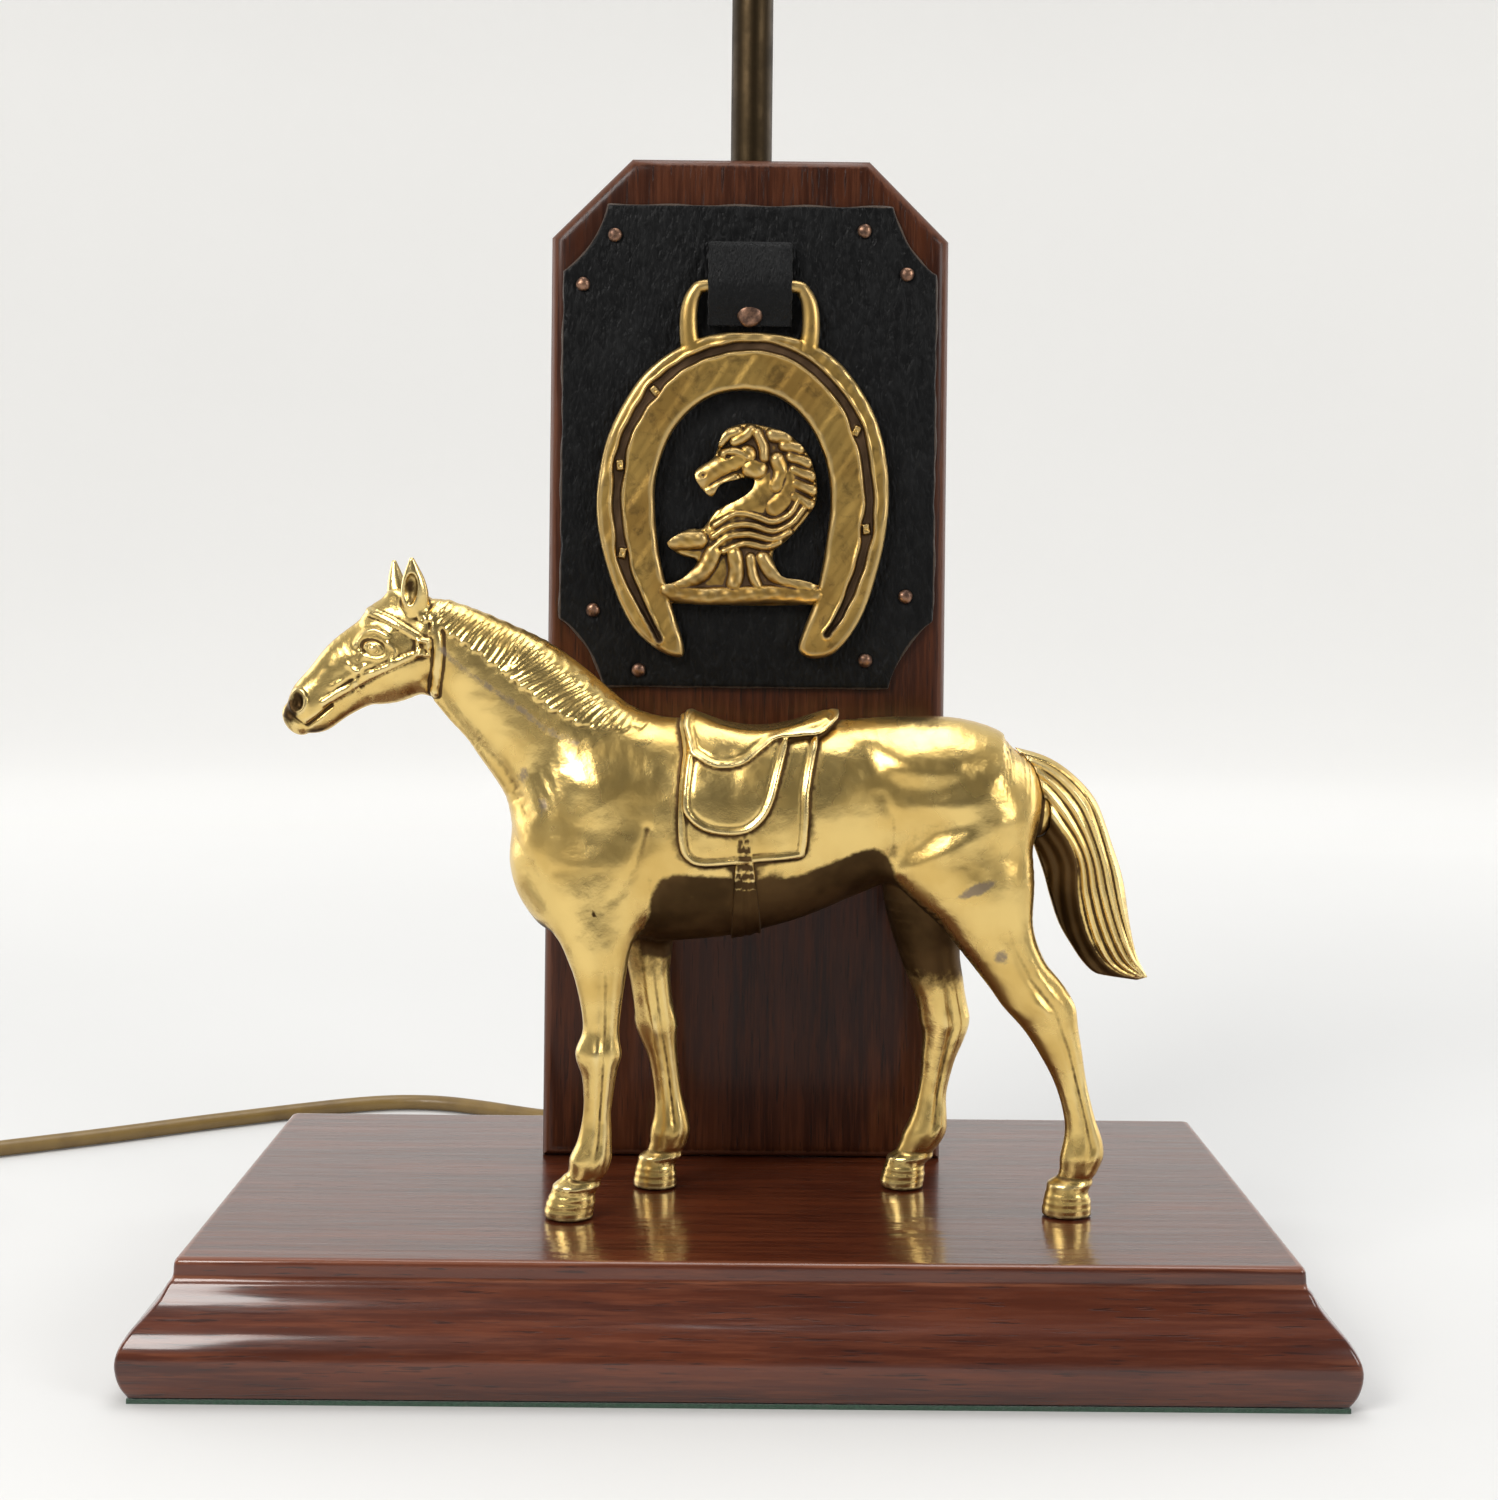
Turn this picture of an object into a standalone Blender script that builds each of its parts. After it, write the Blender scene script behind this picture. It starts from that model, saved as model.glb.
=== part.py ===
"""Equestrian table lamp: mahogany base and back board, leather plaque with a hanging horse brass,
a standing brass racehorse, and a lamp tube with a switched bayonet lampholder and its mains lead.

The origin is under the middle of the base. X runs along the base, Y from the front to the back, Z up.
Sizes in this file are millimetres; every builder function turns them into metres.
"""

from math import cos, pi, radians, sin

import bmesh
import bpy
from mathutils import Vector

MM = 0.001
GAP = 0.3                      # clearance between touching pieces

# ---- driving dimensions ----
BASE_TOP_WIDTH = 293.0
BASE_TOP_DEPTH = 146.0
BASE_HEIGHT = 34.0
FELT_THICKNESS = 1.2
BOARD_WIDTH = 121.0
BOARD_HEIGHT = 304.0           # above the base
BOARD_THICKNESS = 22.0
BOARD_FRONT_Y = 22.5
BOARD_CLIP = 24.3              # clipped top corners
PLAQUE_THICKNESS = 2.0
TUBE_RADIUS = 6.35             # half-inch tube
TUBE_BORE = 4.9
TUBE_ABOVE_BOARD = 100.0
HORSE_Y = -19.0                # the horse's middle plane
FLEX_RADIUS = 2.8
EXIT_HEIGHT = 11.0             # where the lead leaves the back of the base
COIL_CENTRE = (-305.0, 72.0)
COIL_INNER, COIL_OUTER, COIL_TOP = 24.2, 41.8, 11.8
PLUG_CENTRE = (-338.0, -12.0)

# ---- derived positions ----
TOP = BASE_HEIGHT
TUBE_Y = BOARD_FRONT_Y + BOARD_THICKNESS / 2
PLAQUE_BACK = BOARD_FRONT_Y - GAP
PLAQUE_FRONT = PLAQUE_BACK - PLAQUE_THICKNESS
BOARD_TOP = TOP + BOARD_HEIGHT
TUBE_TOP = BOARD_TOP + TUBE_ABOVE_BOARD
RECESS_ROOF = 21.5             # roof of the pocket under the base

for old in list(bpy.data.objects):
    bpy.data.objects.remove(old)


# ---------------------------------------------------------------- helpers

def material(name, colour, roughness, metallic=0.0, alpha=1.0):
    made = bpy.data.materials.new(name)
    made.use_nodes = True
    shader = made.node_tree.nodes["Principled BSDF"]
    shader.inputs["Base Color"].default_value = (*colour, 1.0)
    shader.inputs["Roughness"].default_value = roughness
    shader.inputs["Metallic"].default_value = metallic
    shader.inputs["Alpha"].default_value = alpha
    return made


MAHOGANY = material("mahogany", (0.10, 0.030, 0.016), 0.3)
BAIZE = material("baize", (0.02, 0.12, 0.05), 0.95)
LEATHER = material("leather", (0.012, 0.013, 0.014), 0.5)
COPPER = material("copper", (0.45, 0.20, 0.12), 0.45, 1.0)
POLISHED_BRASS = material("polished_brass", (0.83, 0.65, 0.30), 0.22, 1.0)
ANTIQUE_BRASS = material("antique_brass", (0.55, 0.36, 0.14), 0.38, 1.0)
DARK_BRASS = material("dark_brass", (0.20, 0.13, 0.07), 0.35, 1.0)
HOLDER_BRASS = material("holder_brass", (0.78, 0.60, 0.28), 0.25, 1.0)
STEEL = material("steel", (0.55, 0.55, 0.55), 0.35, 1.0)
PHENOLIC = material("phenolic", (0.03, 0.02, 0.018), 0.35)
OPAL_GLASS = material("opal_glass", (0.92, 0.91, 0.88), 0.15, 0.0, 0.6)
ALUMINIUM = material("aluminium", (0.75, 0.75, 0.76), 0.35, 1.0)
GOLD_FLEX = material("gold_flex", (0.36, 0.22, 0.09), 0.35)
BLACK_PLASTIC = material("black_plastic", (0.02, 0.02, 0.021), 0.4)
CORE_BROWN = material("core_brown", (0.16, 0.06, 0.03), 0.5)
CORE_BLUE = material("core_blue", (0.03, 0.08, 0.30), 0.5)


def finish(name, mesh_data, surface, cutter=False):
    """Turn a bmesh into a named object with its faces pointing out."""
    bmesh.ops.recalc_face_normals(mesh_data, faces=mesh_data.faces)
    mesh = bpy.data.meshes.new(name)
    mesh_data.to_mesh(mesh)
    mesh_data.free()
    mesh.materials.append(surface)
    mesh.shade_smooth()
    mesh.set_sharp_from_angle(angle=radians(35))
    made = bpy.data.objects.new(name, mesh)
    bpy.context.scene.collection.objects.link(made)
    if cutter:
        made.hide_render = True
        made.display_type = "WIRE"
    return made


def skin_rings(mesh_data, rings, close_ends=True, close_loop=False):
    """Quads between rings of equal point count, given in millimetres, with flat ends."""
    loops = [[mesh_data.verts.new(Vector(point) * MM) for point in ring] for ring in rings]
    pairs = list(zip(loops, loops[1:]))
    if close_loop:
        pairs.append((loops[-1], loops[0]))
    for low, high in pairs:
        count = len(low)
        for k in range(count):
            after = (k + 1) % count
            mesh_data.faces.new((low[k], low[after], high[after], high[k]))
    if close_ends and not close_loop:
        mesh_data.faces.new(loops[0])
        mesh_data.faces.new(loops[-1])


def ring_solid(name, rings, surface, cutter=False, close_loop=False):
    mesh_data = bmesh.new()
    skin_rings(mesh_data, rings, close_loop=close_loop)
    return finish(name, mesh_data, surface, cutter)


def box(name, low, high, surface, cutter=False):
    ring = [(low[0], low[1]), (high[0], low[1]), (high[0], high[1]), (low[0], high[1])]
    rings = [[(x, y, z) for x, y in ring] for z in (low[2], high[2])]
    return ring_solid(name, rings, surface, cutter)


def circle(centre, radius, axis, sides):
    """A ring of points around an axis letter."""
    points = []
    for k in range(sides):
        a = 2 * pi * k / sides
        u, v = radius * cos(a), radius * sin(a)
        offset = {"x": (0, u, v), "y": (u, 0, v), "z": (u, v, 0)}[axis]
        points.append(tuple(c + o for c, o in zip(centre, offset)))
    return points


def turned(name, centre, profile, surface, axis="z", sides=24, cutter=False, hollow=False):
    """A turned piece: profile rows are (radius, distance along the axis from the centre).

    A hollow piece's profile runs round its wall and closes on itself.
    """
    step = {"x": (1, 0, 0), "y": (0, 1, 0), "z": (0, 0, 1)}[axis]
    rings = []
    for radius, along in profile:
        middle = tuple(c + s * along for c, s in zip(centre, step))
        rings.append(circle(middle, radius, axis, sides))
    return ring_solid(name, rings, surface, cutter, close_loop=hollow)


def smooth_path(points, steps, closed=False):
    """Catmull-Rom curve through hand-chosen points of any dimension."""
    count = len(points)
    spans = count if closed else count - 1
    path = []
    for i in range(spans):
        if closed:
            p = [points[(i + k) % count] for k in (-1, 0, 1, 2)]
        else:
            p = [points[min(max(i + k, 0), count - 1)] for k in (-1, 0, 1, 2)]
        for s in range(steps):
            t = s / steps
            path.append(tuple(
                0.5 * (2 * b + (c - a) * t + (2 * a - 5 * b + 4 * c - d) * t ** 2 + (3 * b - a - 3 * c + d) * t ** 3)
                for a, b, c, d in zip(*p)))
    if not closed:
        path.append(tuple(points[-1]))
    return path


def even_path(points, spacing):
    """Points a set distance apart along a smooth curve through the given points."""
    dense = [Vector(p) for p in smooth_path(points, 24)]
    spans = [(b - a).length for a, b in zip(dense, dense[1:])]
    total = sum(spans)
    count = max(2, round(total / spacing))
    picked = [dense[0]]
    walked, goal = 0.0, total / count
    for a, b, span in zip(dense, dense[1:], spans):
        while span > 0 and walked + span >= goal - 1e-6 and len(picked) < count:
            picked.append(a.lerp(b, (goal - walked) / span))
            goal += total / count
        walked += span
    picked.append(dense[-1])
    return picked


def wire(name, points, radius, surface, resolution=2):
    """A round wire, lead or spring as a bevelled curve with filled ends."""
    curve = bpy.data.curves.new(name, "CURVE")
    curve.dimensions = "3D"
    curve.bevel_depth = radius * MM
    curve.bevel_resolution = resolution
    curve.use_fill_caps = True
    spline = curve.splines.new("POLY")
    spline.points.add(len(points) - 1)
    for target, point in zip(spline.points, points):
        target.co = (*(Vector(point) * MM), 1.0)
    curve.materials.append(surface)
    made = bpy.data.objects.new(name, curve)
    bpy.context.scene.collection.objects.link(made)
    return made


def plate(name, outline, front, back, surface, cutter=False):
    """An outline in X and Z, given thickness along Y."""
    rings = [[(x, y, z) for x, z in outline] for y in (front, back)]
    return ring_solid(name, rings, surface, cutter)


def boolean(target, other, operation="DIFFERENCE"):
    modifier = target.modifiers.new(operation.lower(), "BOOLEAN")
    modifier.operation = operation
    modifier.object = other
    return modifier


def many_cutters(name, builders):
    """One cutter object made of several separate bodies, each a list of rings."""
    mesh_data = bmesh.new()
    for rings in builders:
        skin_rings(mesh_data, rings)
    return finish(name, mesh_data, STEEL, cutter=True)


def stepped_bore(centre, profile, axis="z", sides=16):
    """The rings of one round hole: profile is a list of (radius, distance along the axis)."""
    step = {"x": (1, 0, 0), "y": (0, 1, 0), "z": (0, 0, 1)}[axis]
    return [circle(tuple(c + s * along for c, s in zip(centre, step)), radius, axis, sides) for radius, along in profile]


def bore(centre, radius, start, end, axis="z", sides=16):
    """The rings of one round hole of a single radius."""
    return stepped_bore(centre, [(radius, start), (radius, end)], axis, sides)


# ---------------------------------------------------------------- base

# Moulded edge, from the top down: distance out from the top's edge and depth below the top.
EDGE_PROFILE = [(-0.6, 0.0), (0.0, 0.6), (0.3, 4.4), (1.2, 5.6), (2.4, 8.2), (4.2, 10.9), (6.6, 13.6), (9.4, 16.6),
                (11.3, 19.8), (12.0, 23.1), (11.7, 26.6), (10.8, 29.8), (9.5, 32.4)]
HOOF_SCREWS = [(-47.6, -36.0), (-25.0, -6.0), (90.8, -30.0), (46.6, -4.4)]
BOARD_SCREWS = [(-38.0, TUBE_Y), (38.0, TUBE_Y)]
# Radii of each screw's counterbore and clearance hole; the counterbore ends at SCREW_SEAT.
HOOF_HOLE = (3.7, 1.75)
BOARD_HOLE = (4.9, 2.35)
SCREW_SEAT = 12.0
GROMMET_HOLE = (4.9, 7.6)          # narrow through the wall, wider for the flange


def rectangle_ring(half_x, half_y, z):
    return [(-half_x, -half_y, z), (half_x, -half_y, z), (half_x, half_y, z), (-half_x, half_y, z)]


def make_base():
    rings = [rectangle_ring(BASE_TOP_WIDTH / 2 + out, BASE_TOP_DEPTH / 2 + out, TOP - down)
             for out, down in EDGE_PROFILE]
    base = ring_solid("base_board", rings, MAHOGANY)
    pocket = box("base_pocket", (-15.0, 18.0, -1.0), (15.0, 66.0, RECESS_ROOF), STEEL, cutter=True)
    narrow, wide = GROMMET_HOLE
    holes = [bore((0, TUBE_Y, 0), TUBE_RADIUS + GAP, RECESS_ROOF - 1, TOP + 1, sides=28),
             stepped_bore((0, 0, EXIT_HEIGHT), [(narrow, 65.5), (narrow, 81.6), (wide, 81.6), (wide, 90.0)], axis="y")]
    for places, (wide, narrow) in ((HOOF_SCREWS, HOOF_HOLE), (BOARD_SCREWS, BOARD_HOLE)):
        for x, y in places:
            profile = [(wide, -1.0), (wide, SCREW_SEAT), (narrow, SCREW_SEAT), (narrow, TOP + 1)]
            holes.append(stepped_bore((x, y, 0), profile))
    boolean(base, pocket)
    boolean(base, many_cutters("base_holes", holes))
    base.modifiers.new("even_faces", "TRIANGULATE").ngon_method = "BEAUTY"
    felt_rings = [rectangle_ring(BASE_TOP_WIDTH / 2 + 9.3, BASE_TOP_DEPTH / 2 + 9.3, z) for z in (0.0, FELT_THICKNESS)]
    ring_solid("base_felt", felt_rings, BAIZE)


def make_screws():
    """Countersunk screws up through the base; each stands in clearance holes."""
    for number, (x, y) in enumerate(HOOF_SCREWS, 1):
        profile = [(3.2, 5.0), (3.2, 7.2), (1.45, 11.7), (1.45, TOP + 7.5), (0.5, TOP + 9.0)]
        turned(f"hoof_screw_{number}", (x, y, 0), profile, STEEL, sides=12)
    for side, (x, y) in zip(("left", "right"), BOARD_SCREWS):
        profile = [(4.2, 5.0), (4.2, 7.6), (2.05, 11.7), (2.05, TOP + 24.0), (0.6, TOP + 28.0)]
        turned(f"board_screw_{side}", (x, y, 0), profile, STEEL, sides=12)


# ---------------------------------------------------------------- back board and plaque

TACKS = [(-41.0, 280.0), (-50.5, 265.0), (34.5, 282.0), (47.5, 269.0),
         (-46.5, 166.5), (-32.5, 148.5), (48.0, 171.5), (36.0, 152.0)]
RIVET_HEIGHT = TOP + 256.1


def board_outline():
    half = BOARD_WIDTH / 2
    low, high = TOP + GAP, BOARD_TOP
    return [(-half, low), (half, low), (half, high - BOARD_CLIP), (half - BOARD_CLIP, high),
            (-half + BOARD_CLIP, high), (-half, high - BOARD_CLIP)]


def make_board():
    board = plate("back_board", board_outline(), BOARD_FRONT_Y, BOARD_FRONT_Y + BOARD_THICKNESS, MAHOGANY)
    rounding = board.modifiers.new("rounding", "BEVEL")
    rounding.width = 4.0 * MM
    rounding.segments = 3
    rounding.limit_method = "WEIGHT"
    weights = board.data.attributes.new("bevel_weight_edge", "FLOAT", "EDGE")
    for edge, weight in zip(board.data.edges, weights.data):
        ends = [board.data.vertices[k].co for k in edge.vertices]
        in_face = abs(ends[0].y - ends[1].y) < 1e-6
        above_base = max(p.z for p in ends) > (TOP + 1.0) * MM
        weight.value = 1.0 if in_face and above_base else 0.0
    holes = [bore((0, TUBE_Y, 0), TUBE_RADIUS + GAP, TOP - 1, BOARD_TOP + 1, sides=28)]
    for x, y in BOARD_SCREWS:
        holes.append(bore((x, y, 0), BOARD_HOLE[1], TOP - 1, TOP + 29.0, sides=12))
    for x, z in TACKS:
        holes.append(bore((x, BOARD_FRONT_Y, TOP + z), 0.95, -1.0, 5.3, axis="y", sides=8))
    holes.append(bore((0, BOARD_FRONT_Y, RIVET_HEIGHT), 1.5, -1.0, 3.3, axis="y", sides=8))
    boolean(board, many_cutters("board_holes", holes))


def plaque_outline():
    """A rectangle whose corners are scooped out by shallow arcs."""
    half_width, low, high = 56.8, TOP + 143.3, TOP + 289.6
    scoop_x, scoop_z, steps = 13.5, 20.5, 6
    outline = []
    for number, (side, z, inward) in enumerate([(1, low, 1), (1, high, -1), (-1, high, -1), (-1, low, 1)]):
        arc = []
        for k in range(steps + 1):
            a = pi / 2 * k / steps
            # halfway between a quarter ellipse round the corner and the straight line across it
            from_side = scoop_x * (cos(a) + 1 - k / steps) / 2
            from_end = scoop_z * (sin(a) + k / steps) / 2
            arc.append((side * (half_width - from_side), z + inward * from_end))
        if number in (1, 3):
            arc.reverse()
        outline += arc
    return outline


def make_plaque():
    plaque = plate("leather_plaque", plaque_outline(), PLAQUE_FRONT, PLAQUE_BACK, LEATHER)
    holes = [bore((x, PLAQUE_FRONT, TOP + z), 0.95, -1.0, 4.0, axis="y", sides=8) for x, z in TACKS]
    holes.append(bore((0, PLAQUE_FRONT, RIVET_HEIGHT), 1.5, -1.0, 4.0, axis="y", sides=8))
    boolean(plaque, many_cutters("plaque_holes", holes))
    head = [(0.9, -1.35), (1.7, -1.05), (2.1, -0.5), (2.15, -0.15), (0.65, -0.15), (0.65, 5.4), (0.2, 7.0)]
    for number, (x, z) in enumerate(TACKS, 1):
        turned(f"plaque_tack_{number}", (x, PLAQUE_FRONT - 0.15, TOP + z), head, COPPER, axis="y", sides=12)


# ---------------------------------------------------------------- strap, rivet and horse brass

EYE_BAR = (16.1, TOP + 264.4)      # Y and Z of the bar that the strap holds: the brass swings on it
STRAP_HALF_WIDTH = 12.6
STRAP_THICKNESS = 1.6
# The strap's middle line in Y and Z (above the base), from its back end over the top to its front end.
STRAP_LINE = [(19.1, 252.8), (19.1, 262.0), (19.1, 271.5), (18.9, 275.6), (17.6, 277.3), (16.1, 276.3),
              (15.2, 273.0), (13.9, 269.0), (13.1, 265.4), (13.3, 263.4), (14.3, 261.9), (16.0, 261.2),
              (17.1, 260.2), (17.25, 258.0), (17.25, 252.8)]


def make_strap():
    middle = [Vector(p) for p in smooth_path(STRAP_LINE, 3)]
    left, right = [], []
    for k, point in enumerate(middle):
        along = (middle[min(k + 1, len(middle) - 1)] - middle[max(k - 1, 0)]).normalized()
        across = Vector((-along.y, along.x)) * STRAP_THICKNESS / 2
        left.append(point + across)
        right.append(point - across)
    section = left + right[::-1]
    rings = [[(x, p.x, TOP + p.y) for p in section] for x in (-STRAP_HALF_WIDTH, STRAP_HALF_WIDTH)]
    strap = ring_solid("brass_strap", rings, LEATHER)
    hole = bore((0, PLAQUE_FRONT, RIVET_HEIGHT), 1.5, -6.0, 1.0, axis="y", sides=8)
    boolean(strap, many_cutters("strap_hole", [hole]))
    head = [(1.6, -2.0), (3.0, -1.7), (3.8, -1.0), (4.0, -0.2), (1.15, -0.2), (1.15, 8.6), (0.4, 9.3)]
    turned("strap_rivet", (0, 16.1, RIVET_HEIGHT), head, COPPER, axis="y", sides=20)


# Outline of the horseshoe in X and Z, clockwise from its left heel.
SHOE_OUTLINE = [(-20.0, 152.6), (-27.0, 155.0), (-35.2, 162.9), (-42.0, 179.0), (-45.5, 197.0), (-43.0, 216.6),
                (-36.2, 231.5), (-27.7, 241.5), (-14.0, 249.0), (0.0, 250.6), (14.0, 248.9), (25.0, 243.6),
                (33.5, 234.0), (39.5, 221.8), (42.4, 205.0), (41.0, 187.0), (35.3, 166.9), (27.5, 155.2),
                (20.5, 152.6), (15.8, 155.0), (17.2, 161.5), (20.8, 171.5), (23.6, 187.0), (24.9, 201.0),
                (23.0, 213.0), (17.6, 223.8), (9.5, 230.8), (0.0, 233.0), (-9.2, 231.9), (-16.8, 227.6),
                (-23.4, 219.5), (-27.4, 208.3), (-28.0, 198.0), (-26.4, 183.0), (-22.5, 168.0), (-18.9, 156.4)]
# Horse's head on a mound, on the bar between the arms of the shoe.
CREST_OUTLINE = [(-24.5, 168.9), (-26.0, 173.6), (-19.7, 176.2), (-15.0, 181.6), (-19.8, 183.2), (-24.2, 187.0),
                 (-17.8, 191.2), (-13.4, 191.6), (-9.6, 196.9), (-3.4, 200.0), (0.9, 203.1), (1.6, 206.6),
                 (-3.5, 206.2), (-8.4, 204.6), (-10.6, 201.0), (-13.2, 202.6), (-16.0, 206.6), (-15.2, 209.6),
                 (-10.4, 212.9), (-8.0, 219.6), (-4.7, 222.3), (0.5, 223.2), (9.5, 221.2), (15.0, 217.6),
                 (18.6, 213.0), (20.6, 206.0), (20.4, 199.5), (16.8, 193.6), (11.3, 187.6), (7.6, 184.0),
                 (10.3, 177.4), (16.6, 176.2), (23.0, 173.6), (22.2, 168.9)]
# Eye: X, Z, half-width across the face, half-thickness.
EYE_STATIONS = [(-17.6, 245.0, 3.0, 1.8), (-18.4, 251.0, 2.8, 1.9), (-18.2, 257.5, 2.6, 1.9), (-16.6, 262.2, 2.2, 1.9),
                (-13.4, 264.4, 1.9, 1.9), (0.0, 264.4, 1.9, 1.9), (13.4, 264.4, 1.9, 1.9), (16.6, 262.2, 2.2, 1.9),
                (18.2, 257.5, 2.6, 1.9), (18.4, 251.0, 2.8, 1.9), (17.6, 245.0, 3.0, 1.8)]


def loft_rings(stations, sides, grow=0.0, flat_end=False):
    """Elliptical rings along a path in the XZ plane.

    A station is (x, y, z, half-thickness in the plane, half-thickness along Y).
    """
    rings = []
    for k, (x, y, z, in_plane, across) in enumerate(stations):
        before, after = stations[max(k - 1, 0)], stations[min(k + 1, len(stations) - 1)]
        along = Vector((after[0] - before[0], 0, after[2] - before[2])).normalized()
        if flat_end and k == len(stations) - 1:
            along = Vector((0, 0, -1))
        normal = Vector((-along.z, 0, along.x))
        ring = []
        for step in range(sides):
            a = 2 * pi * step / sides
            offset = normal * (in_plane + grow) * cos(a) + Vector((0, 1, 0)) * (across + grow) * sin(a)
            ring.append(Vector((x, y, z)) + offset)
        rings.append(ring)
    return rings


def make_horse_brass():
    def outline(points):
        return [(x, TOP + z) for x, z in points]

    brass = plate("horse_brass", outline(smooth_path(SHOE_OUTLINE, 2, closed=True)), 14.4, 18.1, ANTIQUE_BRASS)
    crest = plate("crest_blank", outline(CREST_OUTLINE), 13.6, 17.9, ANTIQUE_BRASS, cutter=True)
    stations = [(x, EYE_BAR[0], TOP + z, a, b) for x, z, a, b in EYE_STATIONS]
    eye = ring_solid("eye_blank", loft_rings(stations, 12), ANTIQUE_BRASS, cutter=True)
    boolean(brass, crest, "UNION")
    boolean(brass, eye, "UNION")


# ---------------------------------------------------------------- horse
# Stations are (X, Y, height above the base, half-thickness in the XZ plane, half-thickness along Y).

TRUNK = [(-57.0, -19, 93.0, 8.0, 8.0), (-53.0, -19, 95.5, 17.0, 12.5), (-44.0, -19, 100.5, 26.5, 16.5),
         (-30.0, -19, 104.8, 31.2, 18.0), (-10.0, -19, 106.0, 31.0, 19.5), (8.0, -19, 108.3, 29.0, 20.0),
         (26.0, -19, 112.0, 25.3, 19.0), (42.0, -19, 115.3, 22.6, 18.5), (58.0, -19, 114.8, 23.0, 19.5),
         (70.0, -19, 112.0, 21.0, 18.5), (79.0, -19, 111.5, 15.0, 14.0), (83.5, -19, 111.0, 6.5, 7.0)]
NECK = [(-90.0, -19, 161.0, 10.5, 7.2), (-84.0, -19, 156.2, 13.3, 8.0), (-74.0, -19, 148.5, 16.5, 9.0),
        (-63.5, -19, 140.5, 19.0, 10.5), (-51.0, -19, 127.5, 21.5, 13.0), (-41.0, -19, 113.0, 25.0, 16.0)]
HEAD = [(-90.5, -19, 159.5, 13.0, 7.3), (-97.0, -19, 157.0, 14.8, 8.2), (-103.0, -19, 153.2, 13.3, 7.9),
        (-111.0, -19, 149.3, 11.0, 6.6), (-118.0, -19, 143.6, 9.0, 5.4), (-123.5, -19, 138.6, 7.8, 5.3),
        (-127.2, -19, 135.8, 5.0, 4.2)]
NEAR_EAR = [(-93.5, -24.0, 168.0, 3.8, 3.0), (-94.0, -25.0, 174.5, 3.2, 2.2), (-94.3, -26.0, 181.0, 0.8, 0.8)]
FAR_EAR = [(-99.6, -14.0, 168.0, 3.5, 2.8), (-100.4, -13.0, 175.0, 2.7, 2.0), (-101.4, -12.5, 180.4, 0.8, 0.8)]
NEAR_FORE = [(-38.0, -29.0, 95.0, 12.5, 8.0), (-39.7, -32.0, 80.0, 9.7, 7.5), (-39.7, -33.5, 66.0, 7.3, 6.0),
             (-39.2, -35.0, 52.0, 5.3, 4.8), (-39.6, -35.5, 45.0, 5.7, 4.9), (-39.5, -35.8, 38.0, 4.5, 4.1),
             (-40.0, -36.0, 29.5, 4.0, 3.3), (-40.8, -36.0, 20.0, 5.0, 4.2), (-42.2, -36.0, 14.0, 5.3, 4.3),
             (-45.0, -36.0, 8.5, 5.9, 4.8), (-47.2, -36.0, 3.5, 6.6, 5.5), (-47.6, -36.0, GAP, 6.8, 5.7)]
FAR_FORE = [(-30.0, -11.0, 92.0, 11.0, 8.0), (-28.0, -9.0, 75.0, 8.0, 7.0), (-27.0, -7.5, 62.0, 6.0, 5.6),
            (-24.8, -6.5, 46.0, 5.2, 4.7), (-22.8, -6.0, 36.0, 4.0, 3.6), (-20.8, -6.0, 24.0, 4.4, 3.7),
            (-20.6, -6.0, 17.0, 5.3, 4.3), (-22.0, -6.0, 12.0, 5.2, 4.3), (-24.5, -6.0, 5.5, 5.9, 4.9),
            (-25.0, -6.0, GAP, 6.3, 5.3)]
NEAR_HIND = [(60.0, -26.5, 103.0, 22.0, 12.5), (66.0, -28.5, 90.0, 16.2, 11.0), (71.0, -29.5, 77.0, 10.7, 8.5),
             (77.0, -30.0, 66.5, 8.8, 6.7), (84.0, -30.0, 57.5, 8.0, 5.7), (88.5, -30.0, 47.0, 6.0, 4.7),
             (91.7, -30.0, 37.0, 4.5, 3.7), (94.2, -30.0, 27.0, 4.4, 3.6), (95.0, -30.0, 19.5, 5.6, 4.3),
             (93.5, -30.0, 13.0, 5.2, 4.2), (91.3, -30.0, 6.5, 6.3, 5.0), (90.8, -30.0, GAP, 6.9, 5.5)]
FAR_HIND = [(57.0, -12.0, 100.0, 20.0, 12.0), (53.5, -9.0, 84.0, 13.3, 9.5), (54.0, -6.5, 70.0, 9.2, 7.5),
            (57.0, -5.2, 58.0, 7.3, 5.9), (58.7, -4.6, 48.0, 6.7, 5.2), (57.0, -4.4, 38.0, 5.0, 4.2),
            (55.4, -4.4, 28.0, 4.4, 3.6), (54.0, -4.4, 18.5, 5.4, 4.3), (51.0, -4.4, 12.0, 5.2, 4.2),
            (47.6, -4.4, 5.5, 6.0, 4.9), (46.6, -4.4, GAP, 6.3, 5.3)]
TAIL = [(80.0, -19, 128.6, 3.2, 3.6), (88.0, -19, 121.6, 6.2, 4.8), (92.4, -19, 110.0, 8.4, 5.8),
        (95.2, -19, 98.0, 9.8, 6.2), (98.4, -19, 86.0, 10.2, 6.0), (102.2, -19, 75.0, 9.0, 5.0),
        (105.4, -19, 68.5, 7.8, 3.6), (107.6, -19, 64.8, 7.0, 1.8)]
LIMBS = {"neck": (NECK, 12, False), "head": (HEAD, 12, False), "near_ear": (NEAR_EAR, 8, False),
         "far_ear": (FAR_EAR, 8, False), "near_fore": (NEAR_FORE, 10, True), "far_fore": (FAR_FORE, 10, True),
         "near_hind": (NEAR_HIND, 10, True), "far_hind": (FAR_HIND, 10, True)}
SADDLE_CLOTH = [(-16.2, 140.0), (-18.4, 119.0), (-18.2, 103.0), (-13.5, 98.0), (13.0, 99.6), (17.4, 103.5), (17.8, 140.0)]
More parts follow.
